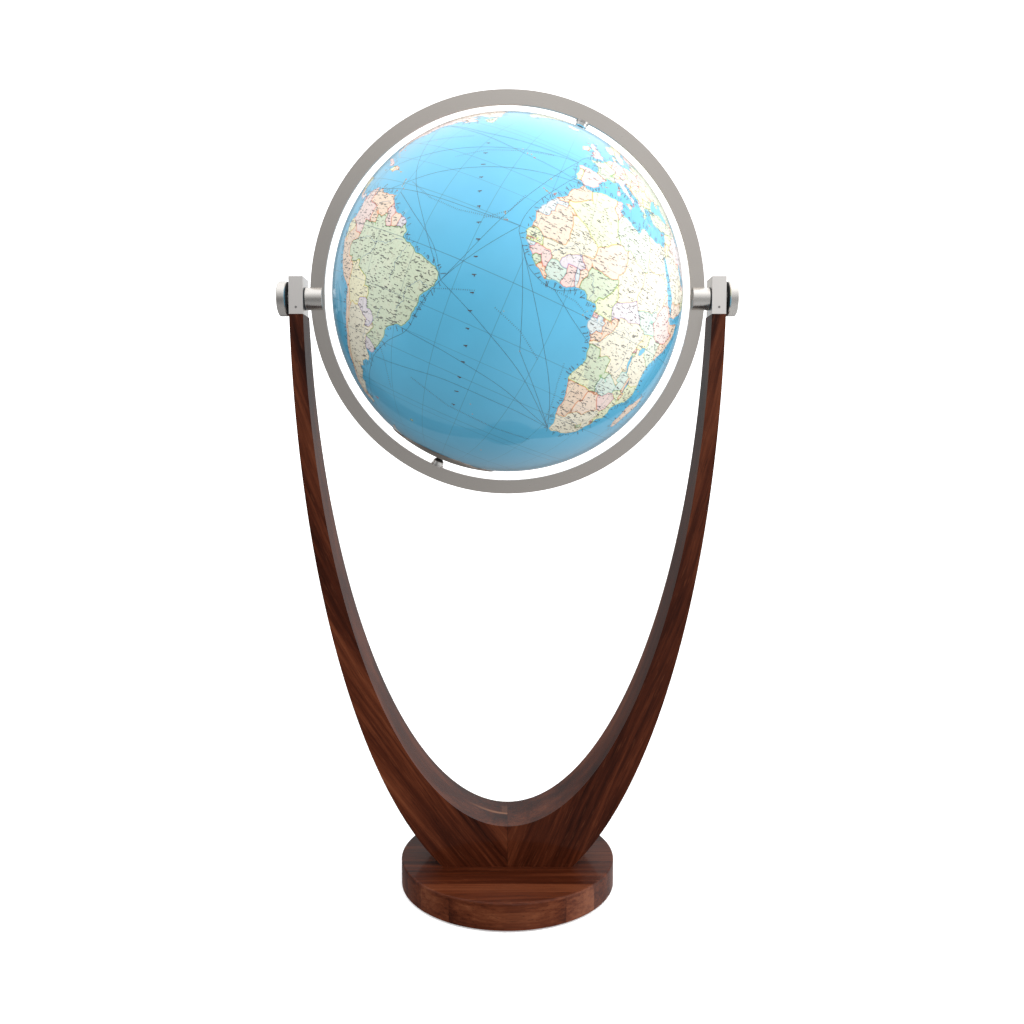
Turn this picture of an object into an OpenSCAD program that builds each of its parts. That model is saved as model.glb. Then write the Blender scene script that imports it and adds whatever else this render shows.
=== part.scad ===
// Floor-standing globe: a map ball that spins in a full steel ring, and the ring
// tilts between the two arms of a walnut stand.
// Millimetres. Origin: centre of the base's underside, +Z up, +Y to the back.

/* [Ball] */
// Diameter of the map ball
ball_d = 400; // [380:2:402]
// Wall thickness of the ball's two shells
ball_wall = 3.5; // [2.5:0.5:5]
// Diameter of the metal cap over the south pole
cap_d = 130; // [110:5:140]
// Thickness of the metal cap
cap_t = 1.2; // [0.8:0.2:1.6]

/* [Ring] */
// Gap between the ball and the ring
ring_gap = 12; // [11:0.5:12.5]
// Radial width of the ring
ring_w = 16; // [14:0.5:16.5]
// Thickness of the ring's plate
ring_t = 5; // [4:0.5:6]
// Angle of the pole axis from the ring's upright
axis_tilt = 23.5; // [0:0.5:45]
// Lean of the ring's top towards the front
ring_lean = 6; // [0:1:20]

/* [Stand] */
// Height of the tilt axis above the floor
pivot_z = 691.5; // [690:0.5:695]
// Height of the arms' top ends
arm_top_z = 672; // [668:1:672]
// Half-width of the arms' outer outline, a half ellipse
arm_out_a = 250.5; // [249:0.5:252]
// Height of that ellipse's centre
arm_out_z = 734; // [730:1:740]
// Length of its upright half-axis
arm_out_b = 736; // [730:1:740]
// Half-width of the arms' inner outline, a half ellipse
arm_in_a = 234.5; // [233.5:0.5:236]
// Height of that ellipse's centre
arm_in_z = 729; // [725:1:735]
// Length of its upright half-axis
arm_in_b = 649.4; // [645:0.2:655]
// Depth of the arms, front to back, at the top
arm_top_depth = 34; // [32:1:38]
// Depth of the arms where they stand on the base
arm_foot_depth = 79; // [70:1:90]

/* [Base] */
// Diameter of the base
base_d = 254; // [240:2:280]
// Thickness of the base
base_t = 30; // [28:1:34]
// Thickness of the felt under the base
felt_t = 2; // [1.5:0.5:3]
// Radius of the base's eased top edge
base_edge_r = 2; // [1:0.5:3]
// Diameter of the steel ballast plate
ballast_d = 180; // [160:5:200]
// Thickness of the ballast plate
ballast_t = 12; // [12:1:14]

/* [Pivots] */
// Length of the steel pivot block, across the arm
block_l = 16.3; // [15:0.1:17]
// Depth of the block, front to back
block_depth = 30; // [28:1:34]
// Height of the block
block_h = 43; // [41:1:46]
// Diameter of the clevis boss that holds the ring
boss_d = 26; // [24:1:28]
// Diameter of the axle that turns in the block
axle_d = 10; // [8:1:10]
// Radial running clearance of every turning pin
run = 0.05; // [0.02:0.01:0.1]
// Diameter of the clamp knob
knob_d = 40; // [36:1:44]
// Length of the clamp knob
knob_l = 10; // [9:0.5:12]
// Diameter of the friction disc
disc_d = 38.4; // [34:0.2:40]

/* [Hidden] */
$fn = 64;
fine = 360;

walnut = [0.30, 0.15, 0.09];
steel = [0.66, 0.64, 0.62];
black = [0.07, 0.07, 0.08];
ocean = [0.34, 0.70, 0.85];

base_z = felt_t;
foot_z = base_z + base_t;
base_r = base_d / 2;

// Base bolts: places, heads and shanks
bolt_x = 35;
bolt_y = 20;
bolt_r = 4;
head_r = 6.5;
head_h = 8;
head_z = base_z + 0.5;
insert_r = 6;
insert_h = 20;
bolt_hole = 0.25;

// Dowels across the seam between the arms
dowel_r = 5;
dowel_l = 40;
dowel_z = foot_z + 24;

// Pivots, measured outwards from the ball's centre
block_x = 234;
block_x2 = block_x + block_l;
block_z2 = arm_top_z + block_h;
stud_x = block_x + block_l / 2;
stud_r = 3.5;
stud_in_arm = 45;
stud_in_block = 10.5;
grub_r = 1.5;
grub_z = arm_top_z + 8;
grub_inset = 0.4;
axle_r = axle_d / 2;
bore_r = axle_r + run;
bush_r = axle_r + 1.5;
flange_t = 1.4;
face_gap = 0.1;
boss_x2 = block_x - flange_t - face_gap;
washer_x2 = block_x2 + 2.4;
disc_x = washer_x2 + face_gap;
knob_x = disc_x + 1.2;
knob_x2 = knob_x + knob_l;
knob_wall = 2;

// Ring, ball and what is on the pole axis, measured from the ball's centre
ball_r = ball_d / 2;
shell_r = ball_r - ball_wall;
ring_in = ball_r + ring_gap;
ring_out = ring_in + ring_w;
ring_slot = 0.2;
clevis_in = ring_in + 1.5;
clevis_screw_x = ring_in + ring_w / 2;
clevis_screw_r = 2;
clevis_head_r = 3.5;
clevis_head_l = 2.5;
clevis_head_y = 9;
pin_r = 3;
pin_root_r = 1.5;
pin_root_l = 12;
pin_tip = ball_r - 18;
pin_washer_t = 2.4;
pin_washer_r = 7.4;
pin_washer_seat = ring_in - sqrt(pow(ring_in, 2) - pow(pin_washer_r, 2));
pin_nut_l = ring_gap - pin_washer_t - 2;
pin_nut_r = 6.6;
hub_r = 10;
hub_flange_r = 18;
hub_in = ball_r - 24;
tube_out_r = 8;
tube_in_r = 6;
tube_end = ball_r - 14;
cap_hole_r = 48;
cap_flange_r = 40;
band_t = 2;
band_h = 24;

// Point at angle t on an ellipse; t = 0 is the widest place, t = 90 the lowest
function arc_point(a, b, zc, t) = [a * cos(t), zc - b * sin(t)];
// Angle at which that ellipse is at height z
function arc_angle(b, zc, z) = asin((zc - z) / b);

// One arm's outline in X and Z, from the seam at x = 0
module arm_outline(steps = 60) {
    out0 = arc_angle(arm_out_b, arm_out_z, arm_top_z);
    out1 = arc_angle(arm_out_b, arm_out_z, foot_z);
    in0 = arc_angle(arm_in_b, arm_in_z, arm_top_z);
    polygon(concat(
        [[0, foot_z]],
        [for (i = [0:steps]) arc_point(arm_out_a, arm_out_b, arm_out_z,
            out1 + (out0 - out1) * i / steps)],
        [for (i = [0:steps]) arc_point(arm_in_a, arm_in_b, arm_in_z,
            in0 + (90 - in0) * i / steps)]
    ));
}

// The depth of the arms, a wedge that widens towards the base
module arm_wedge() {
    rotate([90, 0, 90]) linear_extrude(arm_out_a + 1)
        polygon([
            [-arm_foot_depth / 2, foot_z], [arm_foot_depth / 2, foot_z],
            [arm_top_depth / 2, arm_top_z], [-arm_top_depth / 2, arm_top_z]
        ]);
}

// side is 1 for the right and -1 for the left
module to_side(side) { mirror([side < 0 ? 1 : 0, 0, 0]) children(); }

// A cylinder along X, from x1 to x2, on the tilt axis
module on_pivot(x1, x2, r) {
    translate([x1, 0, pivot_z]) rotate([0, 90, 0]) cylinder(h = x2 - x1, r = r);
}

// The ring's frame: the centre of the ball, leaning to the front
module ring_frame() { translate([0, 0, pivot_z]) rotate([ring_lean, 0, 0]) children(); }

// The pole axis as Z. pole is 1 for the north and -1 for the south
module pole_frame(pole = 1) {
    ring_frame() rotate([0, axis_tilt, 0]) mirror([0, 0, pole < 0 ? 1 : 0]) children();
}

module base_felt() {
    color("black") cylinder(h = felt_t, r = base_r - 4);
}

module base_plate() {
    color(walnut) difference() {
        rotate_extrude() translate([0, base_z]) union() {
            square([base_r - base_edge_r, base_t]);
            square([base_r, base_t - base_edge_r]);
            translate([base_r - base_edge_r, base_t - base_edge_r]) circle(base_edge_r);
        }
        translate([0, 0, base_z - 1]) cylinder(h = ballast_t + 1, d = ballast_d + 2);
        for (x = [-bolt_x, bolt_x], y = [-bolt_y, bolt_y])
            translate([x, y, base_z]) cylinder(h = base_t + 1, r = bolt_r + bolt_hole);
    }
}

module ballast_plate() {
    color("dimgray") difference() {
        translate([0, 0, base_z]) cylinder(h = ballast_t, d = ballast_d);
        for (x = [-bolt_x, bolt_x], y = [-bolt_y, bolt_y]) translate([x, y, 0]) {
            cylinder(h = foot_z, r = bolt_r + bolt_hole);
            cylinder(h = head_z + head_h, r = head_r + 0.5);
        }
    }
}

module base_bolt(x_side, y_side) {
    socket_d = 6.9;
    color(steel) translate([x_side * bolt_x, y_side * bolt_y, 0]) difference() {
        union() {
            translate([0, 0, head_z]) cylinder(h = head_h, r = head_r);
            translate([0, 0, head_z + head_h]) cylinder(h = foot_z + 14 - head_z - head_h, r = bolt_r);
        }
        translate([0, 0, head_z - 1]) cylinder(h = 5, d = socket_d, $fn = 6);
    }
}

module foot_insert(x_side, y_side) {
    color("goldenrod") translate([x_side * bolt_x, y_side * bolt_y, foot_z]) difference() {
        cylinder(h = insert_h, r = insert_r);
        translate([0, 0, -1]) cylinder(h = insert_h + 2, r = bolt_r);
    }
}

module arm(side) {
    color(walnut) to_side(side) difference() {
        intersection() {
            translate([0, arm_foot_depth, 0]) rotate([90, 0, 0])
                linear_extrude(2 * arm_foot_depth) arm_outline();
            arm_wedge();
        }
        for (y = [-bolt_y, bolt_y]) {
            translate([bolt_x, y, foot_z - 1]) cylinder(h = insert_h + 1, r = insert_r);
            translate([-1, y, dowel_z]) rotate([0, 90, 0]) cylinder(h = dowel_l / 2 + 1, r = dowel_r);
        }
        translate([stud_x, 0, arm_top_z - stud_in_arm]) cylinder(h = stud_in_arm + 1, r = stud_r);
    }
}

module seam_dowel(y_side) {
    color("burlywood") translate([-dowel_l / 2, y_side * bolt_y, dowel_z])
        rotate([0, 90, 0]) cylinder(h = dowel_l, r = dowel_r);
}

module block_stud(side) {
    color(steel) to_side(side) translate([stud_x, 0, arm_top_z - stud_in_arm])
        cylinder(h = stud_in_arm + stud_in_block, r = stud_r);
}

module pivot_block(side) {
    color(steel) to_side(side) difference() {
        translate([block_x, -block_depth / 2, arm_top_z]) cube([block_l, block_depth, block_h]);
        on_pivot(block_x - 1, block_x2 + 1, bush_r);
        translate([stud_x, 0, arm_top_z - 1]) cylinder(h = stud_in_block + 1, r = stud_r);
        translate([stud_x, 0, grub_z]) rotate([90, 0, 0]) cylinder(h = block_depth, r = grub_r);
    }
}

module grub_screw(side) {
    socket_d = 1.7;
    front = block_depth / 2 - grub_inset;
    color("gray") to_side(side) translate([stud_x, 0, grub_z]) rotate([90, 0, 0]) difference() {
        translate([0, 0, stud_r]) cylinder(h = front - stud_r, r = grub_r);
        translate([0, 0, front - 2]) cylinder(h = 3, d = socket_d, $fn = 6);
    }
}

module bush(side) {
    color(black) to_side(side) difference() {
        union() {
            on_pivot(block_x - flange_t, block_x, boss_d / 2);
            on_pivot(block_x, block_x2, bush_r);
        }
        on_pivot(block_x - flange_t - 1, block_x2 + 1, bore_r);
    }
}

module spacer_washer(side) {
    color(steel) to_side(side) difference() {
        on_pivot(block_x2, washer_x2, 10.25);
        on_pivot(block_x2 - 1, washer_x2 + 1, axle_r + 0.25);
    }
}

module meridian_ring() {
    color(steel) difference() {
        ring_frame() rotate([90, 0, 0]) difference() {
            translate([0, 0, -ring_t / 2]) cylinder(h = ring_t, r = ring_out, $fn = fine);
            translate([0, 0, -ring_t]) cylinder(h = 2 * ring_t, r = ring_in, $fn = fine);
            for (x = [-clevis_screw_x, clevis_screw_x])
                translate([x, 0, -ring_t]) cylinder(h = 2 * ring_t, r = clevis_screw_r);
        }
        for (pole = [-1, 1]) pole_frame(pole)
            translate([0, 0, ring_in - 1]) cylinder(h = pin_root_l + 1, r = pin_root_r);
    }
}

module clevis(side) {
    color(steel) difference() {
        to_side(side) union() {
            on_pivot(clevis_in, boss_x2, boss_d / 2);
            on_pivot(boss_x2, knob_x2 - knob_wall - 0.5, axle_r);
        }
        ring_frame() to_side(side) {
            translate([0, -ring_t / 2, -boss_d]) cube([ring_out + ring_slot, ring_t, 2 * boss_d]);
            translate([clevis_screw_x, clevis_head_y, 0]) rotate([90, 0, 0])
                cylinder(h = 2 * clevis_head_y, r = clevis_screw_r);
            translate([clevis_screw_x, clevis_head_y + boss_d, 0]) rotate([90, 0, 0])
                cylinder(h = boss_d, r = clevis_head_r);
        }
    }
}

// It goes in from the back, through the ring, and its head lies below the boss's surface
module clevis_screw(side) {
    socket_d = 2.9;
    socket_l = 1.6;
    head_end = clevis_head_y + clevis_head_l;
    color("gray") ring_frame() to_side(side) translate([clevis_screw_x, 0, 0])
        rotate([-90, 0, 0]) difference() {
            union() {
                translate([0, 0, -clevis_head_y]) cylinder(h = 2 * clevis_head_y, r = clevis_screw_r);
                translate([0, 0, clevis_head_y]) cylinder(h = clevis_head_l, r = clevis_head_r);
            }
            translate([0, 0, head_end - socket_l]) cylinder(h = socket_l + 1, d = socket_d, $fn = 6);
        }
}

module pole_pin(pole) {
    color(steel) pole_frame(pole) {
        translate([0, 0, ring_in]) cylinder(h = pin_root_l, r = pin_root_r);
        translate([0, 0, pin_tip]) cylinder(h = ring_in - ring_slot - pin_tip, r = pin_r);
        translate([0, 0, ring_in - ring_slot]) cylinder(h = ring_slot, r = pin_root_r);
    }
}

// The washer's flat face meets the ring's hollow inner edge at its own rim
module pin_washer(pole) {
    color(steel) pole_frame(pole) difference() {
        translate([0, 0, ring_in - pin_washer_t])
            cylinder(h = pin_washer_t - pin_washer_seat, r = pin_washer_r);
        translate([0, 0, pin_tip]) cylinder(h = ring_in, r = pin_r);
    }
}

// Cap nut, rounded towards the ball
module pin_nut(pole) {
    dome_r = pin_nut_r + 0.6;
    bottom = ring_in - pin_washer_t - pin_nut_l;
    color(steel) pole_frame(pole) difference() {
        intersection() {
            translate([0, 0, bottom]) cylinder(h = pin_nut_l, r = pin_nut_r);
            translate([0, 0, bottom + dome_r]) union() {
                sphere(r = dome_r);
                cylinder(h = pin_nut_l, r = dome_r);
            }
        }
        translate([0, 0, pin_tip]) cylinder(h = ring_in, r = pin_r);
    }
}

module friction_disc(side) {
    color(black) to_side(side) difference() {
        on_pivot(disc_x, knob_x, disc_d / 2);
        on_pivot(disc_x - 1, knob_x + 1, axle_r + 0.25);
    }
}

module knob(side) {
    chamfer = 0.8;
    r = knob_d / 2;
    color(steel) to_side(side) difference() {
        translate([knob_x, 0, pivot_z]) rotate([0, 90, 0]) rotate_extrude() polygon([
            [0, 0], [r - chamfer, 0], [r, chamfer], [r, knob_l - chamfer],
            [r - chamfer, knob_l], [0, knob_l]
        ]);
        on_pivot(knob_x - 1, knob_x2 - knob_wall, bore_r);
    }
}

// Half of the ball's shell, with a hole at its pole
module hemisphere(pole, hole_r) {
    color(ocean) pole_frame(pole) difference() {
        sphere(r = ball_r, $fn = fine);
        sphere(r = shell_r, $fn = fine);
        translate([0, 0, -ball_r - 1]) cylinder(h = ball_r + 1, r = ball_r + 1);
        cylinder(h = ball_r + 1, r = hole_r);
    }
}

module equator_band() {
    color("white") pole_frame() difference() {
        intersection() {
            sphere(r = shell_r, $fn = fine);
            translate([0, 0, -band_h / 2]) cylinder(h = band_h, r = ball_r);
        }
        sphere(r = shell_r - band_t, $fn = fine);
    }
}

module axis_tube() {
    color("silver") pole_frame() difference() {
        translate([0, 0, -tube_end]) cylinder(h = 2 * tube_end, r = tube_out_r);
        translate([0, 0, -ball_r]) cylinder(h = 2 * ball_r, r = tube_in_r);
    }
}

// A bearing hub: body through the wall, flange inside it, spigot in the axis tube
module hub(pole, flange_r, seat_r, outer_r) {
    color("ivory") pole_frame(pole) difference() {
        union() {
            intersection() {
                translate([0, 0, tube_end]) cylinder(h = ball_r, r = hub_r);
                sphere(r = outer_r, $fn = fine);
            }
            intersection() {
                translate([0, 0, tube_end]) cylinder(h = ball_r, r = flange_r);
                sphere(r = seat_r, $fn = fine);
            }
            translate([0, 0, hub_in]) cylinder(h = tube_end - hub_in, r = tube_in_r);
        }
        translate([0, 0, pin_tip - 2]) cylinder(h = ball_r, r = pin_r + run);
    }
}

module south_cap() {
    color(steel) pole_frame(-1) difference() {
        intersection() {
            sphere(r = ball_r + cap_t, $fn = fine);
            cylinder(h = 2 * ball_r, d = cap_d);
        }
        sphere(r = ball_r, $fn = fine);
        cylinder(h = 2 * ball_r, r = hub_r);
    }
}

base_felt();
base_plate();
ballast_plate();
base_bolt(-1, -1);  // base_bolt_left_front
base_bolt(-1, 1);  // base_bolt_left_back
base_bolt(1, -1);  // base_bolt_right_front
base_bolt(1, 1);  // base_bolt_right_back
foot_insert(-1, -1);  // foot_insert_left_front
foot_insert(-1, 1);  // foot_insert_left_back
foot_insert(1, -1);  // foot_insert_right_front
foot_insert(1, 1);  // foot_insert_right_back
arm(-1);  // left_arm
arm(1);  // right_arm
seam_dowel(-1);  // seam_dowel_front
seam_dowel(1);  // seam_dowel_back
block_stud(-1);  // left_block_stud
block_stud(1);  // right_block_stud
pivot_block(-1);  // left_pivot_block
pivot_block(1);  // right_pivot_block
grub_screw(-1);  // left_grub_screw
grub_screw(1);  // right_grub_screw
bush(-1);  // left_bush
bush(1);  // right_bush
spacer_washer(-1);  // left_spacer_washer
spacer_washer(1);  // right_spacer_washer
meridian_ring();
clevis(-1);  // left_clevis
clevis(1);  // right_clevis
clevis_screw(-1);  // left_clevis_screw
clevis_screw(1);  // right_clevis_screw
pole_pin(1);  // north_pin
pole_pin(-1);  // south_pin
pin_washer(1);  // north_pin_washer
pin_washer(-1);  // south_pin_washer
pin_nut(1);  // north_pin_nut
pin_nut(-1);  // south_pin_nut
friction_disc(-1);  // left_friction_disc
friction_disc(1);  // right_friction_disc
knob(-1);  // left_knob
knob(1);  // right_knob
hemisphere(1, hub_r);  // northern_hemisphere
hemisphere(-1, cap_hole_r);  // southern_hemisphere
equator_band();
axis_tube();
hub(1, hub_flange_r, shell_r, ball_r);  // north_hub
hub(-1, cap_flange_r, ball_r, ball_r + cap_t);  // south_hub
south_cap();
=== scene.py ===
"""The looks of a floor globe: walnut stand, brushed steel and a printed ball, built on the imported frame."""
import math
import random

import bpy
import numpy as np
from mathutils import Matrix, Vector, geometry, kdtree


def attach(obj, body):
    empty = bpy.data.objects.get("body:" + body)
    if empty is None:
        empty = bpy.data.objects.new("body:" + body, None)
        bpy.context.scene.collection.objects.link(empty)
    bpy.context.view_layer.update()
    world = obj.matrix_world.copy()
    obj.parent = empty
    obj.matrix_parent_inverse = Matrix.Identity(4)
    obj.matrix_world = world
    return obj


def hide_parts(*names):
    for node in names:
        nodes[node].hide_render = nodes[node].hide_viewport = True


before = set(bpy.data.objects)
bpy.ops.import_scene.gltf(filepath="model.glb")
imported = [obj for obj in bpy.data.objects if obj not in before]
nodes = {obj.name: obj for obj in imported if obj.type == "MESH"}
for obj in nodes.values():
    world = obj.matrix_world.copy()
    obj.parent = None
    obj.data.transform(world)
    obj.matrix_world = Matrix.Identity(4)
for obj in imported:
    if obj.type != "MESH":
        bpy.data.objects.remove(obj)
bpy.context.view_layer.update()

PIVOT_Z = .6915                         # the tilt axis's height, in metres
CENTRE = np.array((0, 0, PIVOT_Z))
BALL_R = .2
POLE = np.array((.398749, -.095858, .912036))
SPIN_AT = -18.4                         # the meridian that faces the front at rest
# The map. Every outline is listed as longitude and latitude in degrees, east and north
# positive. The sheet runs from SEAM_W to SEAM_W + 360, so the far east goes past 180.
SEAM_W = -169.5

EURAFRICA = """
-5.9 35.8, -5.3 35.9, -4.3 35.2, -3 35.3, -2 35.1, -.6 35.8, 1.3 36.5, 3 36.8, 5 36.8, 7.5 37, 8.6 36.9,
9.8 37.3, 11 37, 10.5 36.3, 11 35.2, 10.2 34.3, 10.1 33.9, 11.1 33.3, 12.3 32.8, 13.2 32.9, 15.2 32.3,
15.8 31.4, 17.8 30.9, 19 30.3, 20.1 31.1, 20 32, 21.6 32.9, 23.1 32.6, 24 32, 25.1 31.6, 27.3 31.3, 29 30.8,
30.4 31.5, 31.6 31.5, 32.3 31.2, 34.2 31.3, 34.7 32, 35 32.8, 35.5 33.9, 35.8 34.8, 35.9 36, 36.2 36.7,
34.6 36.7, 33.7 36.1, 32.3 36.1, 30.7 36.8, 30.3 36.2, 29.1 36.6, 28 36.7, 27.3 37.1, 27.2 38, 26.3 38.3,
26.8 39, 26.1 39.5, 26.2 40, 27.5 40.4, 29 40.7, 27.6 41, 26.5 40.3, 26.1 40.6, 25 40.9, 23.8 40.7, 24 40.1,
22.8 40.5, 22.9 39.4, 24 38.2, 23.7 37.8, 23.1 37.4, 23 36.5, 22.4 36.5, 21.7 36.8, 21.2 37.8, 22.6 38.2,
20.8 38.8, 20 39.7, 19.4 40.6, 19.5 41.8, 18.4 42.5, 17 43, 15.9 43.7, 15.1 44.4, 14.6 45.2, 13.9 44.9,
13.6 45.7, 12.4 45.4, 12.4 44.3, 13.6 43.6, 14.2 42.4, 15.2 41.9, 16.1 41.7, 17 41, 18.5 40.1, 17 40.5,
16.6 39.8, 17.1 39, 16.1 38, 15.7 38, 16.1 38.9, 15.6 40, 14.3 40.8, 12.3 41.7, 11 42.4, 10.3 43.4,
8.9 44.4, 7.5 43.8, 6.2 43.1, 4.8 43.4, 3.2 43.2, 3.2 42.3, 2.1 41.3, .9 40.8, -.3 39.5, .2 38.7, -.7 37.9,
-2 36.8, -4.4 36.7, -5.4 36.1, -6.3 36.6, -7 37.2, -8.9 37, -8.8 38.3, -9.5 38.8, -8.7 40.8, -8.9 42.1,
-9.3 43, -8 43.7, -5.8 43.6, -3.8 43.5, -1.8 43.4, -1.2 44.6, -1.2 46, -2.5 47.3, -4.7 48, -4.7 48.5,
-3 48.8, -1.6 48.6, -1.9 49.7, -1.1 49.4, .2 49.6, 1.6 50.2, 1.6 50.9, 3.3 51.4, 4.1 52, 4.8 52.9, 6.8 53.5,
8.5 53.7, 8.2 55.5, 8.1 56.7, 9.6 57.2, 10.6 57.7, 10.3 56.5, 9.6 55.5, 9.8 54.8, 11 54.3, 12.4 54.3,
14.2 53.9, 16.5 54.5, 18.5 54.7, 19.7 54.4, 21 55.3, 21.1 56.8, 22.6 57.6, 24.3 57.1, 24.4 58.3, 23.6 59.2,
26 59.6, 28.1 59.6, 30.2 59.9, 28.5 60.6, 25 60.2, 22.9 59.9, 21.4 61, 21.3 62.8, 24 64.5, 25.3 65.3,
22.2 65.8, 21.5 64.5, 20 63.6, 17.6 62.2, 17.2 60.7, 18.7 59.8, 17 58.6, 16.4 56.8, 14.4 55.5, 12.9 55.6,
11.3 58.8, 10.6 59.3, 8 58.1, 5.7 58.8, 5.1 60.5, 5.3 62, 8.5 63.6, 10.5 64.5, 13 66.2, 14.8 68, 18 69.5,
22 70.3, 25.8 71.1, 30.8 70.4, 33 69.5, 36.5 69, 41 67.6, 40.5 66.5, 36.5 66.3, 33 66.8, 34.8 64.5, 37.5 64,
39.8 64.7, 40 65.5, 42.5 66.4, 44.2 66, 43.8 68.2, 46.5 68, 49 67.8, 54 68.3, 58 68.8, 60.5 69.7, 64.5 69.3,
68.5 68.3, 67 69.6, 68.5 72, 70 73.2, 72.8 72.8, 72 71, 73 68.2, 74.5 68.7, 74 72, 78 72.3, 80.8 73.5,
87 75, 98 76.3, 104.3 77.7, 113 75.8, 108 73.5, 114 73.6, 119 73, 123.5 73, 127 73.5, 129.5 71, 134 71.5,
140 72.6, 150 71.6, 160 69.8, 170 69.8, 176 69.8, 180 69, 185 67.5, 190 66.1, 187.5 64.5, 182 65.4,
178.5 64.6, 179.5 62.5, 174.5 61.8, 170.5 60, 166 59.9, 163.2 59, 162.8 57.8, 163.3 56.2, 161.8 55,
160 53.2, 158.3 51.9, 156.7 51, 155.7 53, 155.6 56, 157.5 58, 161.9 60.3, 163.8 62.4, 160 60.7, 155 59.3,
151 59.1, 143 59.3, 140 57.8, 137.5 55, 137.8 53.7, 141.3 53.2, 140.5 51, 140.4 48.5, 138.5 46.5, 135.5 44,
133 42.8, 131 42.5, 129.7 41.5, 127.5 39.8, 128.4 38.5, 129.4 37, 129.3 35.4, 126.5 34.4, 126.5 36.7,
125 37.8, 124.5 39.9, 121.6 39, 122 40.6, 119 39.2, 117.8 38.8, 119 37.3, 120.9 37.8, 122.5 37.2, 119.3 35,
121.8 32, 121.8 30.9, 121.9 29.2, 119.5 25.6, 116.9 23.3, 114.2 22.3, 110.6 21.2, 110.2 20.3, 109.6 21.5,
108 21.6, 106.6 20.3, 105.7 18.8, 107.5 16.5, 109.2 13.5, 109 11.5, 106.8 10.4, 105.1 8.7, 104.8 10.2,
103.3 10.7, 102.3 12.1, 100.9 13.4, 99.9 12, 99.3 9.3, 100.3 8.3, 101.5 6.9, 103.4 4.8, 103.4 2.8,
104.2 1.4, 103.4 1.4, 101.3 2.9, 100.4 5.5, 99.3 6.8, 98.3 8.2, 98.6 10, 98.6 13, 97.7 16, 96.2 16.5,
95.3 15.8, 94.3 16, 94.4 18.5, 92.3 20.8, 91.8 22.4, 90.3 22, 88 21.7, 86.9 20.7, 85.2 19.6, 82.3 16.8,
80.2 15.6, 80.2 13.2, 79.8 10.4, 79 9.3, 77.5 8.1, 76.4 9.9, 74.8 12.9, 73.4 16.2, 72.8 19, 72.7 21.5,
71.2 20.8, 69 22.2, 70.2 22.9, 68.3 23.6, 67 24.9, 66.5 25.4, 61.6 25.2, 58.8 25.5, 57.2 26.8, 56.3 27.1,
54.5 26.6, 52.6 27.5, 51 28.8, 50.1 30.1, 48.6 30.1, 48 29.9, 48.2 28.5, 49.9 26.8, 50.1 25.7, 50.8 24.9,
50.9 25.7, 51.3 26.1, 51.6 25, 51.4 24.4, 54 24.2, 55.3 25.3, 56.3 26.2, 56.4 25, 58.6 23.6, 59.8 22.4,
58.5 20.5, 57.7 19, 55.3 17.4, 52.2 15.6, 49 14.1, 45 12.8, 43.4 12.7, 42.8 15, 42.5 16.8, 40.8 19.6,
39.1 21.5, 38 24.2, 36.4 26.2, 35.1 28.1, 34.9 29.5, 34.3 27.8, 33.2 28.8, 32.6 29.9, 33.6 27.8, 34.3 26.2,
35.5 24, 37.2 21, 37.2 19.6, 38.6 18, 39.7 15.3, 41.2 14.6, 43.1 12.5, 43.3 11.5, 44.5 10.5, 47 11.1,
51.2 11.9, 50.8 9.5, 49 6.5, 47 3.8, 44.5 1.5, 42.5 -.4, 41 -2, 39.7 -4, 38.8 -6, 39.4 -7, 39.6 -9,
40.5 -10.8, 40.7 -14.8, 39.8 -16.4, 37 -17.9, 34.9 -19.8, 35.5 -21.8, 35.4 -24, 32.8 -25.5, 32.7 -27.5,
31 -29.8, 28.3 -32.7, 25.7 -33.8, 22.5 -34.1, 20 -34.8, 18.4 -34.2, 18.3 -32.5, 17.2 -30, 15.7 -27.8,
14.9 -26, 14.5 -22.5, 13.2 -20, 11.8 -17.5, 12.5 -14, 13.6 -12, 13.2 -9.2, 12.3 -6.2, 11.8 -4.6, 9.6 -2.4,
8.8 -.7, 9.4 1, 9.8 3.3, 8.7 4.6, 7 4.4, 6 4.3, 5 5.8, 4.3 6.3, 2.5 6.3, 1.2 6.1, -.2 5.4, -2 4.7, -4 5.2,
-6 4.9, -7.5 4.4, -9.2 5.6, -11.5 6.9, -13.2 8.7, -13.7 9.6, -15 11, -16.7 12.4, -16.8 13.4, -17.5 14.7,
-16.5 16.1, -16.2 18.9, -16.5 19.5, -17 20.9, -16 23.6, -14.8 25.3, -13 27.7, -11.3 28.6, -9.8 29.8,
-9.8 31.4, -8.5 33.3, -6.8 34.1
"""

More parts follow.
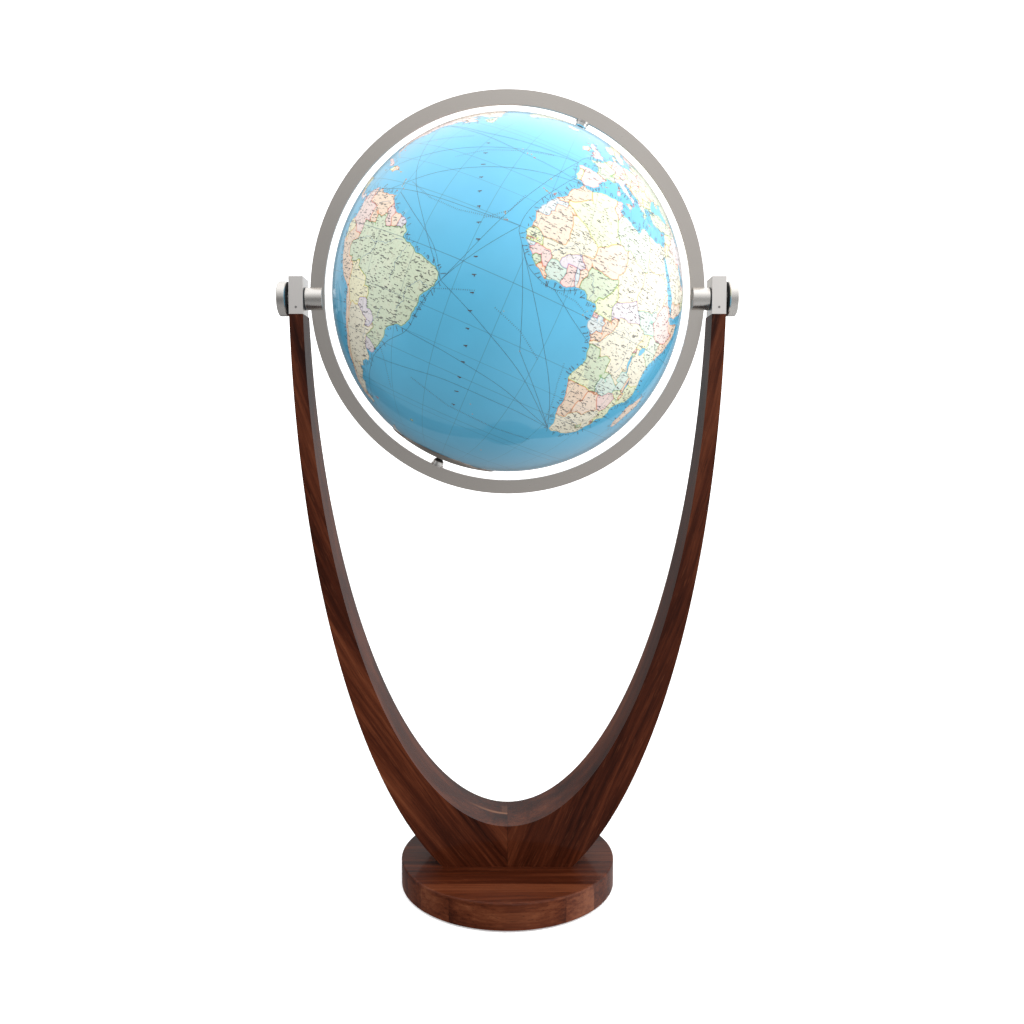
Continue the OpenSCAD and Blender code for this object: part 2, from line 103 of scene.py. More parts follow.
AMERICAS = """
-168 65.6, -163.5 66.6, -162 66.5, -163.7 67.1, -166.5 68.3, -156.5 71.3, -150 70.5, -141 69.7, -135 69.3,
-128 70.3, -124 69.6, -115 68.3, -108 67.8, -101 67.8, -96 68.2, -94.5 71.8, -92 69.5, -87.5 67.5,
-85.5 69.5, -81.5 68.5, -86 66.2, -87.5 64.5, -93 62, -94.5 58.8, -92.5 57, -87.5 56.2, -82.3 55.2,
-82.3 53, -80 51.2, -79 53.5, -79.7 54.8, -77 56.5, -78.3 58.5, -77.5 60, -78 62.4, -73.7 62.3, -70 61,
-69.5 59, -66 58.8, -64.8 60.3, -62 57.5, -59 54.8, -55.8 52.7, -57.5 51.4, -60 50.2, -66.5 50.2, -69.5 48,
-64.5 49, -64.8 47, -60.2 46.4, -63.5 44.5, -66 43.5, -65 45.3, -67 44.8, -70.2 43.6, -70.8 42, -70 41.7,
-72 41.2, -74 40.6, -74.9 39, -76 37, -75.5 35.2, -78 33.9, -81.2 31.5, -81.3 29.5, -80.1 26.8, -80.4 25.2,
-81.7 26, -82.8 28, -83.8 29.9, -85.3 29.7, -88 30.3, -89.4 29, -91.5 29.5, -94.7 29.4, -97.2 27.5,
-97.7 24.5, -97.7 22, -96.2 19.2, -94.5 18.2, -92 18.6, -90.5 19.8, -90.3 21, -87.2 21.5, -87.5 19.5,
-88.3 18, -88.9 15.9, -86 15.9, -83.3 15, -83.6 12.5, -83.5 10.9, -82 9, -79.6 9.6, -77.3 8.5, -76.8 8.2,
-75.5 10.6, -74.8 11.1, -72.2 12, -71.5 11, -71.8 9.3, -71 9.6, -71.3 10.8, -70 12, -68.3 10.8, -66 10.6,
-63 10.7, -61.9 10.6, -61 9.5, -60 8.5, -57.5 6.3, -55 6, -53 5.4, -51.5 4.2, -50 1.8, -50.5 0, -48.5 -.8,
-48 -.7, -44.5 -2.5, -41.5 -2.9, -38.5 -3.8, -35.4 -5.2, -34.8 -7.2, -35.2 -9.2, -37 -11.2, -38.5 -13,
-39 -16.5, -39.7 -19.5, -41 -22, -42 -23, -44.5 -23.2, -47 -24.5, -48.6 -26.2, -48.8 -28.5, -50.2 -30.2,
-52.3 -32.5, -53.8 -34.3, -55 -34.9, -58.2 -34.2, -57.3 -35.5, -56.7 -36.5, -57.7 -38.1, -61.8 -38.9,
-62.3 -40.8, -65 -41, -64 -42.5, -65.3 -44.5, -67.5 -46, -65.8 -47.7, -68.5 -50.2, -68.3 -52.3, -65.3 -54.8,
-68 -55.7, -72 -54, -74 -52, -75.4 -49, -74.5 -46.5, -73 -43.5, -73.8 -40, -73.3 -37, -71.6 -33, -71.5 -30,
-70.4 -25, -70.2 -20, -70.4 -18.4, -72 -17.2, -76.2 -14, -77.5 -11.5, -79 -8, -81.2 -5.5, -80 -3.3, -81 -1,
-80 .8, -78 1.8, -77.3 4, -77.7 7, -78.4 8.3, -80.3 7.4, -82.5 8.2, -83.7 8.6, -85.8 10.2, -87.6 12.9,
-90 13.6, -92.3 14.6, -94.5 16.2, -96.5 15.7, -99.8 16.8, -102.2 18, -105.5 20, -105.4 21.8, -108 25,
-109.5 26.7, -112.8 30.5, -114.8 31.8, -113 28.8, -111.3 26, -109.5 23, -112.2 25, -114 27.2, -115.8 30.3,
-117.2 32.7, -120.5 34.4, -122.4 37.3, -124.3 40.3, -124.2 43.5, -124.1 46.3, -124.7 48.4, -122.5 48,
-123 49.3, -127.5 51, -130.3 54.5, -133.5 57.5, -137 58.7, -141.5 60, -146 60.8, -149.5 59.8, -151.8 59.3,
-151 61, -154 58.8, -158.5 56.2, -163 54.7, -164.5 54.6, -160 56, -157.8 58.5, -162 58.7, -165.5 61.2,
-164.5 63.1, -161 64, -162 64.6, -166.3 64.6
"""

# Islands, and lakes and inland seas: a ring inside land turns it back into water
RINGS = """
-5.6 50.1, -3.5 50.3, -1 50.8, 1.3 51.1, 1 51.8, 1.7 52.6, .2 53.2, -.3 54.5, -1.6 55.6, -3.2 56, -2 57.6,
-3.8 57.6, -3.1 58.6, -5 58.5, -5.7 57, -5.5 55.8, -4.8 54.8, -3 54, -3.1 53.3, -4.5 53.2, -4.2 52.3,
-5.2 51.8, -3 51.4, -4.3 51.1; -6.2 53.4, -6.3 52.2, -9.8 51.5, -10 53.5, -8.5 54.3, -7.4 55.3, -5.7 54.6;
-22.5 64, -18.5 63.4, -14.6 64.4, -14.8 66, -18.5 66.1, -22.5 66.4, -24.2 65.5, -22 64.4; 11 79, 15 77.2,
20 78, 25 80, 16 80; 52 71, 57 70.7, 56 73, 62 75.5, 68 77, 60 76, 54 73.3; 95 79.3, 100 78.3, 104 79.2,
97 81; 138 75.5, 146 75, 143 76.1; 12.5 38, 15.5 38.2, 15.1 36.7, 12.6 37.6; 8.2 40.9, 9.6 41.2, 9.6 39.2,
8.5 39; 8.6 42.4, 9.4 43, 9.5 42, 9 41.4; 23.6 35.5, 26.3 35.2, 24.8 34.9; 32.3 35.1, 34.5 35.6, 33.6 34.8;
49.3 -12, 50.4 -15.5, 49.5 -17.5, 47.7 -23, 47 -25, 45.2 -25.5, 43.6 -23.5, 44.3 -20, 44.3 -16.6,
46.5 -15.6, 48 -13.6; 80 9.7, 81.3 8.5, 81.8 7, 80.6 6, 79.8 7.5; 95.4 5.6, 97.5 5.2, 100.3 2.8, 103.5 -.5,
106 -3, 105.8 -5.8, 104.5 -5.9, 101 -2.7, 98.7 1.7; 105.3 -6.8, 106.5 -6, 108.7 -6.8, 111 -6.5, 114.4 -7.8,
114.4 -8.7, 110 -8.2, 106.4 -7.4; 109 1.8, 111.3 2.5, 113.5 3.8, 116.8 7, 119.2 5.2, 117.8 3.5, 119 1,
116.5 -2, 116 -4, 114.5 -3.8, 110.2 -2.8, 109 -.5; 119.6 -5.5, 120.4 -5.5, 120.4 -3, 122.5 -5, 122.3 -3,
121.5 -1.9, 123.3 -.9, 120.2 -.8, 120.5 .5, 124.9 .4, 124.5 1.5, 121 1.2, 119.8 .3, 119 -3; 131 -.8,
134 -.8, 135 -3.2, 138 -1.6, 141 -2.6, 145 -4.3, 147.8 -6, 147 -6.8, 150.8 -10.3, 147 -9.5, 144.5 -7.6,
142.5 -9.2, 139 -8.1, 138 -5.5, 133 -4, 132.8 -2.8; 120.3 16.2, 120.8 18.5, 122.2 18.4, 121.7 15.8,
124 12.7, 121.5 13.8, 120.2 14.8; 122 7, 123.6 8.6, 125.4 9.8, 126.5 7.2, 125.5 5.7, 124 7; 122 11.5,
123.5 11.2, 125 12.2, 125.2 10.4, 123 9.3; 120.1 23, 121.5 25.2, 121 22.2; 108.7 19.2, 110.7 20.1, 110 18.4;
129.8 33.3, 131.5 33.8, 132 32.6, 130.9 31.2, 130.2 31.5; 132.5 33.4, 134.6 34.2, 134.2 33.3, 133 32.8;
130.9 34, 133 35.5, 136 35.8, 137.2 37.3, 138.6 37.3, 140 39.5, 140.4 41.2, 141.5 41.3, 142 39.5,
140.9 38.2, 140.8 35.7, 139 34.7, 136 33.5, 135.2 34.6, 132 34.1; 140.2 41.6, 140.4 43.3, 141.8 45.4,
145.3 43.6, 143.2 42; 142 46, 142 50, 142.5 54.3, 143.3 52, 144 49.2, 142.8 46.6; 113.7 -22.5, 114.2 -26.3,
115.7 -31.8, 115.1 -34.2, 118 -35, 123.5 -33.9, 126 -32.3, 131.2 -31.5, 134.5 -33, 135.7 -34.9, 137.8 -32.7,
137.8 -35.2, 139.7 -36.5, 140.9 -38, 143.6 -38.8, 146.4 -39.1, 150 -37.4, 151.2 -33.8, 153 -31, 153.5 -28.2,
153 -25.3, 149.8 -22.4, 146 -18.8, 145.4 -15, 142.5 -10.8, 141.6 -14, 140.8 -17.5, 139 -17.3, 135.5 -14.9,
136.9 -12.2, 132.6 -11.4, 130.7 -12.4, 129.5 -14.9, 128.2 -14.8, 126 -14.2, 124 -16.3, 122.2 -18, 119 -20,
116.5 -20.7; 144.7 -40.8, 148.3 -40.9, 147.8 -43.2, 146 -43.5; 172.7 -34.5, 175 -36.5, 178.4 -37.7,
177 -39.6, 175.3 -41.6, 173.8 -39.3, 174.7 -37.5; 172.7 -40.6, 174.3 -41.7, 172.8 -43.6, 170.7 -45.9,
168.5 -46.6, 166.5 -45.9, 168.5 -44, 171.2 -42.4; 164.2 -20.3, 167 -22.3, 164.8 -21.3; 148.5 -5.8,
151.5 -4.3, 152 -5, 150 -6.3; 159.5 -8, 161.5 -9.6, 160 -9.5; 177.3 -17.5, 178.7 -17.8, 178 -18.4; -73 78.2,
-68.5 76.2, -60 75.8, -55 72.5, -53.5 69, -52 65, -48.5 61, -44 60, -42 62.5, -38 65.8, -32.5 68.2,
-25 70.5, -20 75, -18.5 79, -12.5 81.5, -30 83.5, -50 82.5, -60 81.8, -65 80.2; -85 73.7, -78 73, -68 70.3,
-61.8 66.5, -64.5 63, -72 64.3, -73 67.5, -78 70, -88 70.8; -87 76.6, -78 76.5, -75 78.8, -62 82.4,
-72 83.1, -90 81.8, -85 79; -117 71.5, -115 69.2, -105 69, -102 70, -105 72.8, -112 73; -125 72, -120 71.5,
-116 73, -122 74.3; -117 75.3, -106 75, -105 76.5, -115 76.6; -92 76.5, -80 75.5, -80 74.6, -92 74.8;
-87 64, -82 63.8, -81 65, -85 66; -102 73, -97 71.5, -97 73.8; -95 74, -90 73.8, -93 72.2; -59.3 47.7,
-55.8 46.9, -52.8 47, -53.5 48.8, -55.5 51.5, -57.3 50.5; -84.9 21.9, -82 23.1, -77.5 21.9, -74.2 20.2,
-77.5 19.9, -78 20.8, -82.5 22.5; -74.4 18.4, -73.3 19.9, -69.8 19.8, -68.4 18.6, -71.3 17.8; -78.3 18.3,
-76.3 18.1, -77.2 17.8; -67.2 18.4, -65.7 18.3, -66.5 17.9; -61.8 10.6, -61 10.8, -61.2 10.1; -128.3 50.7,
-125.2 50, -123.5 48.5, -125.8 49; -61 -51.8, -58 -51.5, -59 -52.3; 28.2 41.5, 31.5 41.4, 33.3 42, 35.1 42,
36.3 41.3, 38.5 41, 41.4 41.4, 41.5 42.5, 39.5 43.7, 37.5 44.7, 38.3 46.3, 39.2 47.2, 36 46.5, 35 46.2,
35.3 45.3, 33.8 44.4, 32.6 45.4, 33.4 46.1, 31.5 46.6, 30 45.8, 29.6 45, 28.6 43.7, 27.7 42.5; 49 46.2,
51.5 46.9, 53 46.5, 53 45.3, 51.2 45.1, 50.3 44.4, 51.5 43.2, 52.7 42.6, 52.9 41.2, 53 40, 53.8 38.9,
53.9 37, 51.5 36.7, 49.8 37.4, 48.9 38.4, 49.4 40.2, 47.8 42.6, 47.3 44; 31.8 -2.5, 31.7 -1, 32.3 .1,
33.9 .3, 34.2 -1, 33.3 -2.2; 29.2 -3.4, 29.6 -3.5, 30.3 -6.5, 31.1 -8.7, 30.6 -8.7, 29.4 -6.6, 29.1 -5;
34 -9.6, 34.6 -10.5, 34.8 -12.5, 35.2 -14.3, 34.8 -14.3, 34.2 -12.5; 58.5 45.2, 60.5 46.5, 61 44.5,
59.3 43.7; 103.8 51.6, 106 52.8, 109.5 55.6, 108.5 54, 105.5 51.5; -92 46.8, -89 48.3, -85 47.8, -84.6 46.5,
-88 46.9; -87.7 42, -87.5 45, -85 45.9, -81 45.8, -80.2 44.5, -82.5 43.3, -83.5 45, -85.5 44.9, -86.3 43,
-87 41.7; -83.3 41.7, -79 42.8, -81.5 41.7; -79.7 43.4, -76.4 44, -77.5 43.3; -125 66.2, -120 66.4,
-119 65.3, -123 65.2; -117 61.3, -111 62.6, -113 61; -99 53.5, -97 52, -97 50.6, -98.5 51.5; 31 61,
32.8 61.4, 32.5 60, 31.2 60
"""
ANTARCTICA = """
-169.5 -78.5, -158 -77.5, -150 -77, -140 -75.2, -125 -73.5, -110 -74.5, -100 -73, -90 -73, -80 -73.2,
-75 -71.5, -68 -68, -62 -64.5, -57 -63.3, -61 -66, -62.5 -70, -61 -74, -68 -77.6, -60 -77.5, -45 -78,
-35 -77.5, -26 -75.5, -15 -72.5, 0 -70.5, 15 -70, 33 -69, 40 -69, 50 -67, 60 -67.5, 70 -69.5, 75 -69.8,
80 -68, 90 -66.8, 105 -66, 115 -67, 130 -66.3, 142 -67, 150 -68.5, 160 -70, 170 -71.8, 167 -76, 165 -78,
178 -78.3, 190.5 -78.5
"""
# Small islands: longitude, latitude, radius in degrees
ISLETS = """
-16.6 28.3 .45, -15.6 28 .35, -14 28.4 .5, -17.9 28.7 .3, -13.6 29 .3, -25.1 17.1 .3, -23.6 15.1 .35,
-24.3 14.9 .25, -24.9 16.6 .3, -25.5 37.8 .4, -28.7 38.5 .3, -27.2 38.7 .3, -31.2 39.5 .2, -17 32.8 .35,
-14.4 -7.9 .2, -5.7 -16 .2, -12.3 -37.1 .2, -10 -40.3 .2, -36.5 -54.4 .7, 3.4 -54.4 .25, 8.7 3.5 .35,
6.6 .2 .25, 7.4 1.6 .2, 55.5 -21.1 .4, 57.6 -20.3 .35, 43.4 -11.7 .35, 45.2 -12.8 .25, 55.5 -4.7 .25,
54 12.5 .45, 39.4 -6.1 .35, 3 39.6 .4, 4 40 .25, 1.4 39 .25, 28 36.2 .3, 14.4 35.9 .25, 12 55.4 .5,
10.4 55.3 .4, 18.5 57.5 .5, 22.6 58.4 .5, -6.8 62.1 .35, -7 57.4 .35, -1.3 60.4 .3, -3.2 59 .3, -61 14.6 .3,
-61.4 16.2 .35, -61 13.8 .25, -59.6 13.2 .25, -61.4 15.4 .25, -61.7 12.1 .25, -77.8 24.5 .5, -77 26.5 .5,
-75.3 23.5 .3, -64.8 32.4 .2, -155.5 19.6 .55, -156.4 20.8 .35, -158 21.5 .35, -159.5 22 .3, -91 -.5 .6,
-90.3 -.7 .3, -109.4 -27.1 .2, -149.4 -17.6 .35, 70.2 -49.3 .8, 73.5 -53.1 .3, 50.8 -46.4 .3,
37.7 -46.9 .25, 72.4 -7.3 .2, 73 4 .2, 92.8 12.5 .4, 93.8 7.2 .25, 115.2 -8.4 .45, 117.5 -8.7 .6,
121 -8.6 .7, 125 -9 .8, 120 -9.7 .5, 128 1 .7, 128.5 -3.2 .8, 126.6 -3.4 .4, 127.8 26.5 .3, 144.8 13.5 .25,
134.5 7.5 .25, 168.5 -16 .5, 169 -19 .3, 155 -6.2 .7, 157.5 -8.3 .5, 188 -13.7 .35, 184.8 -21.2 .3,
183 51.9 .4, 174 52.8 .4, 178 51.6 .4, 150 45.5 .5, 155 50 .5, 147.5 44.3 .5, 166 55.2 .4
"""

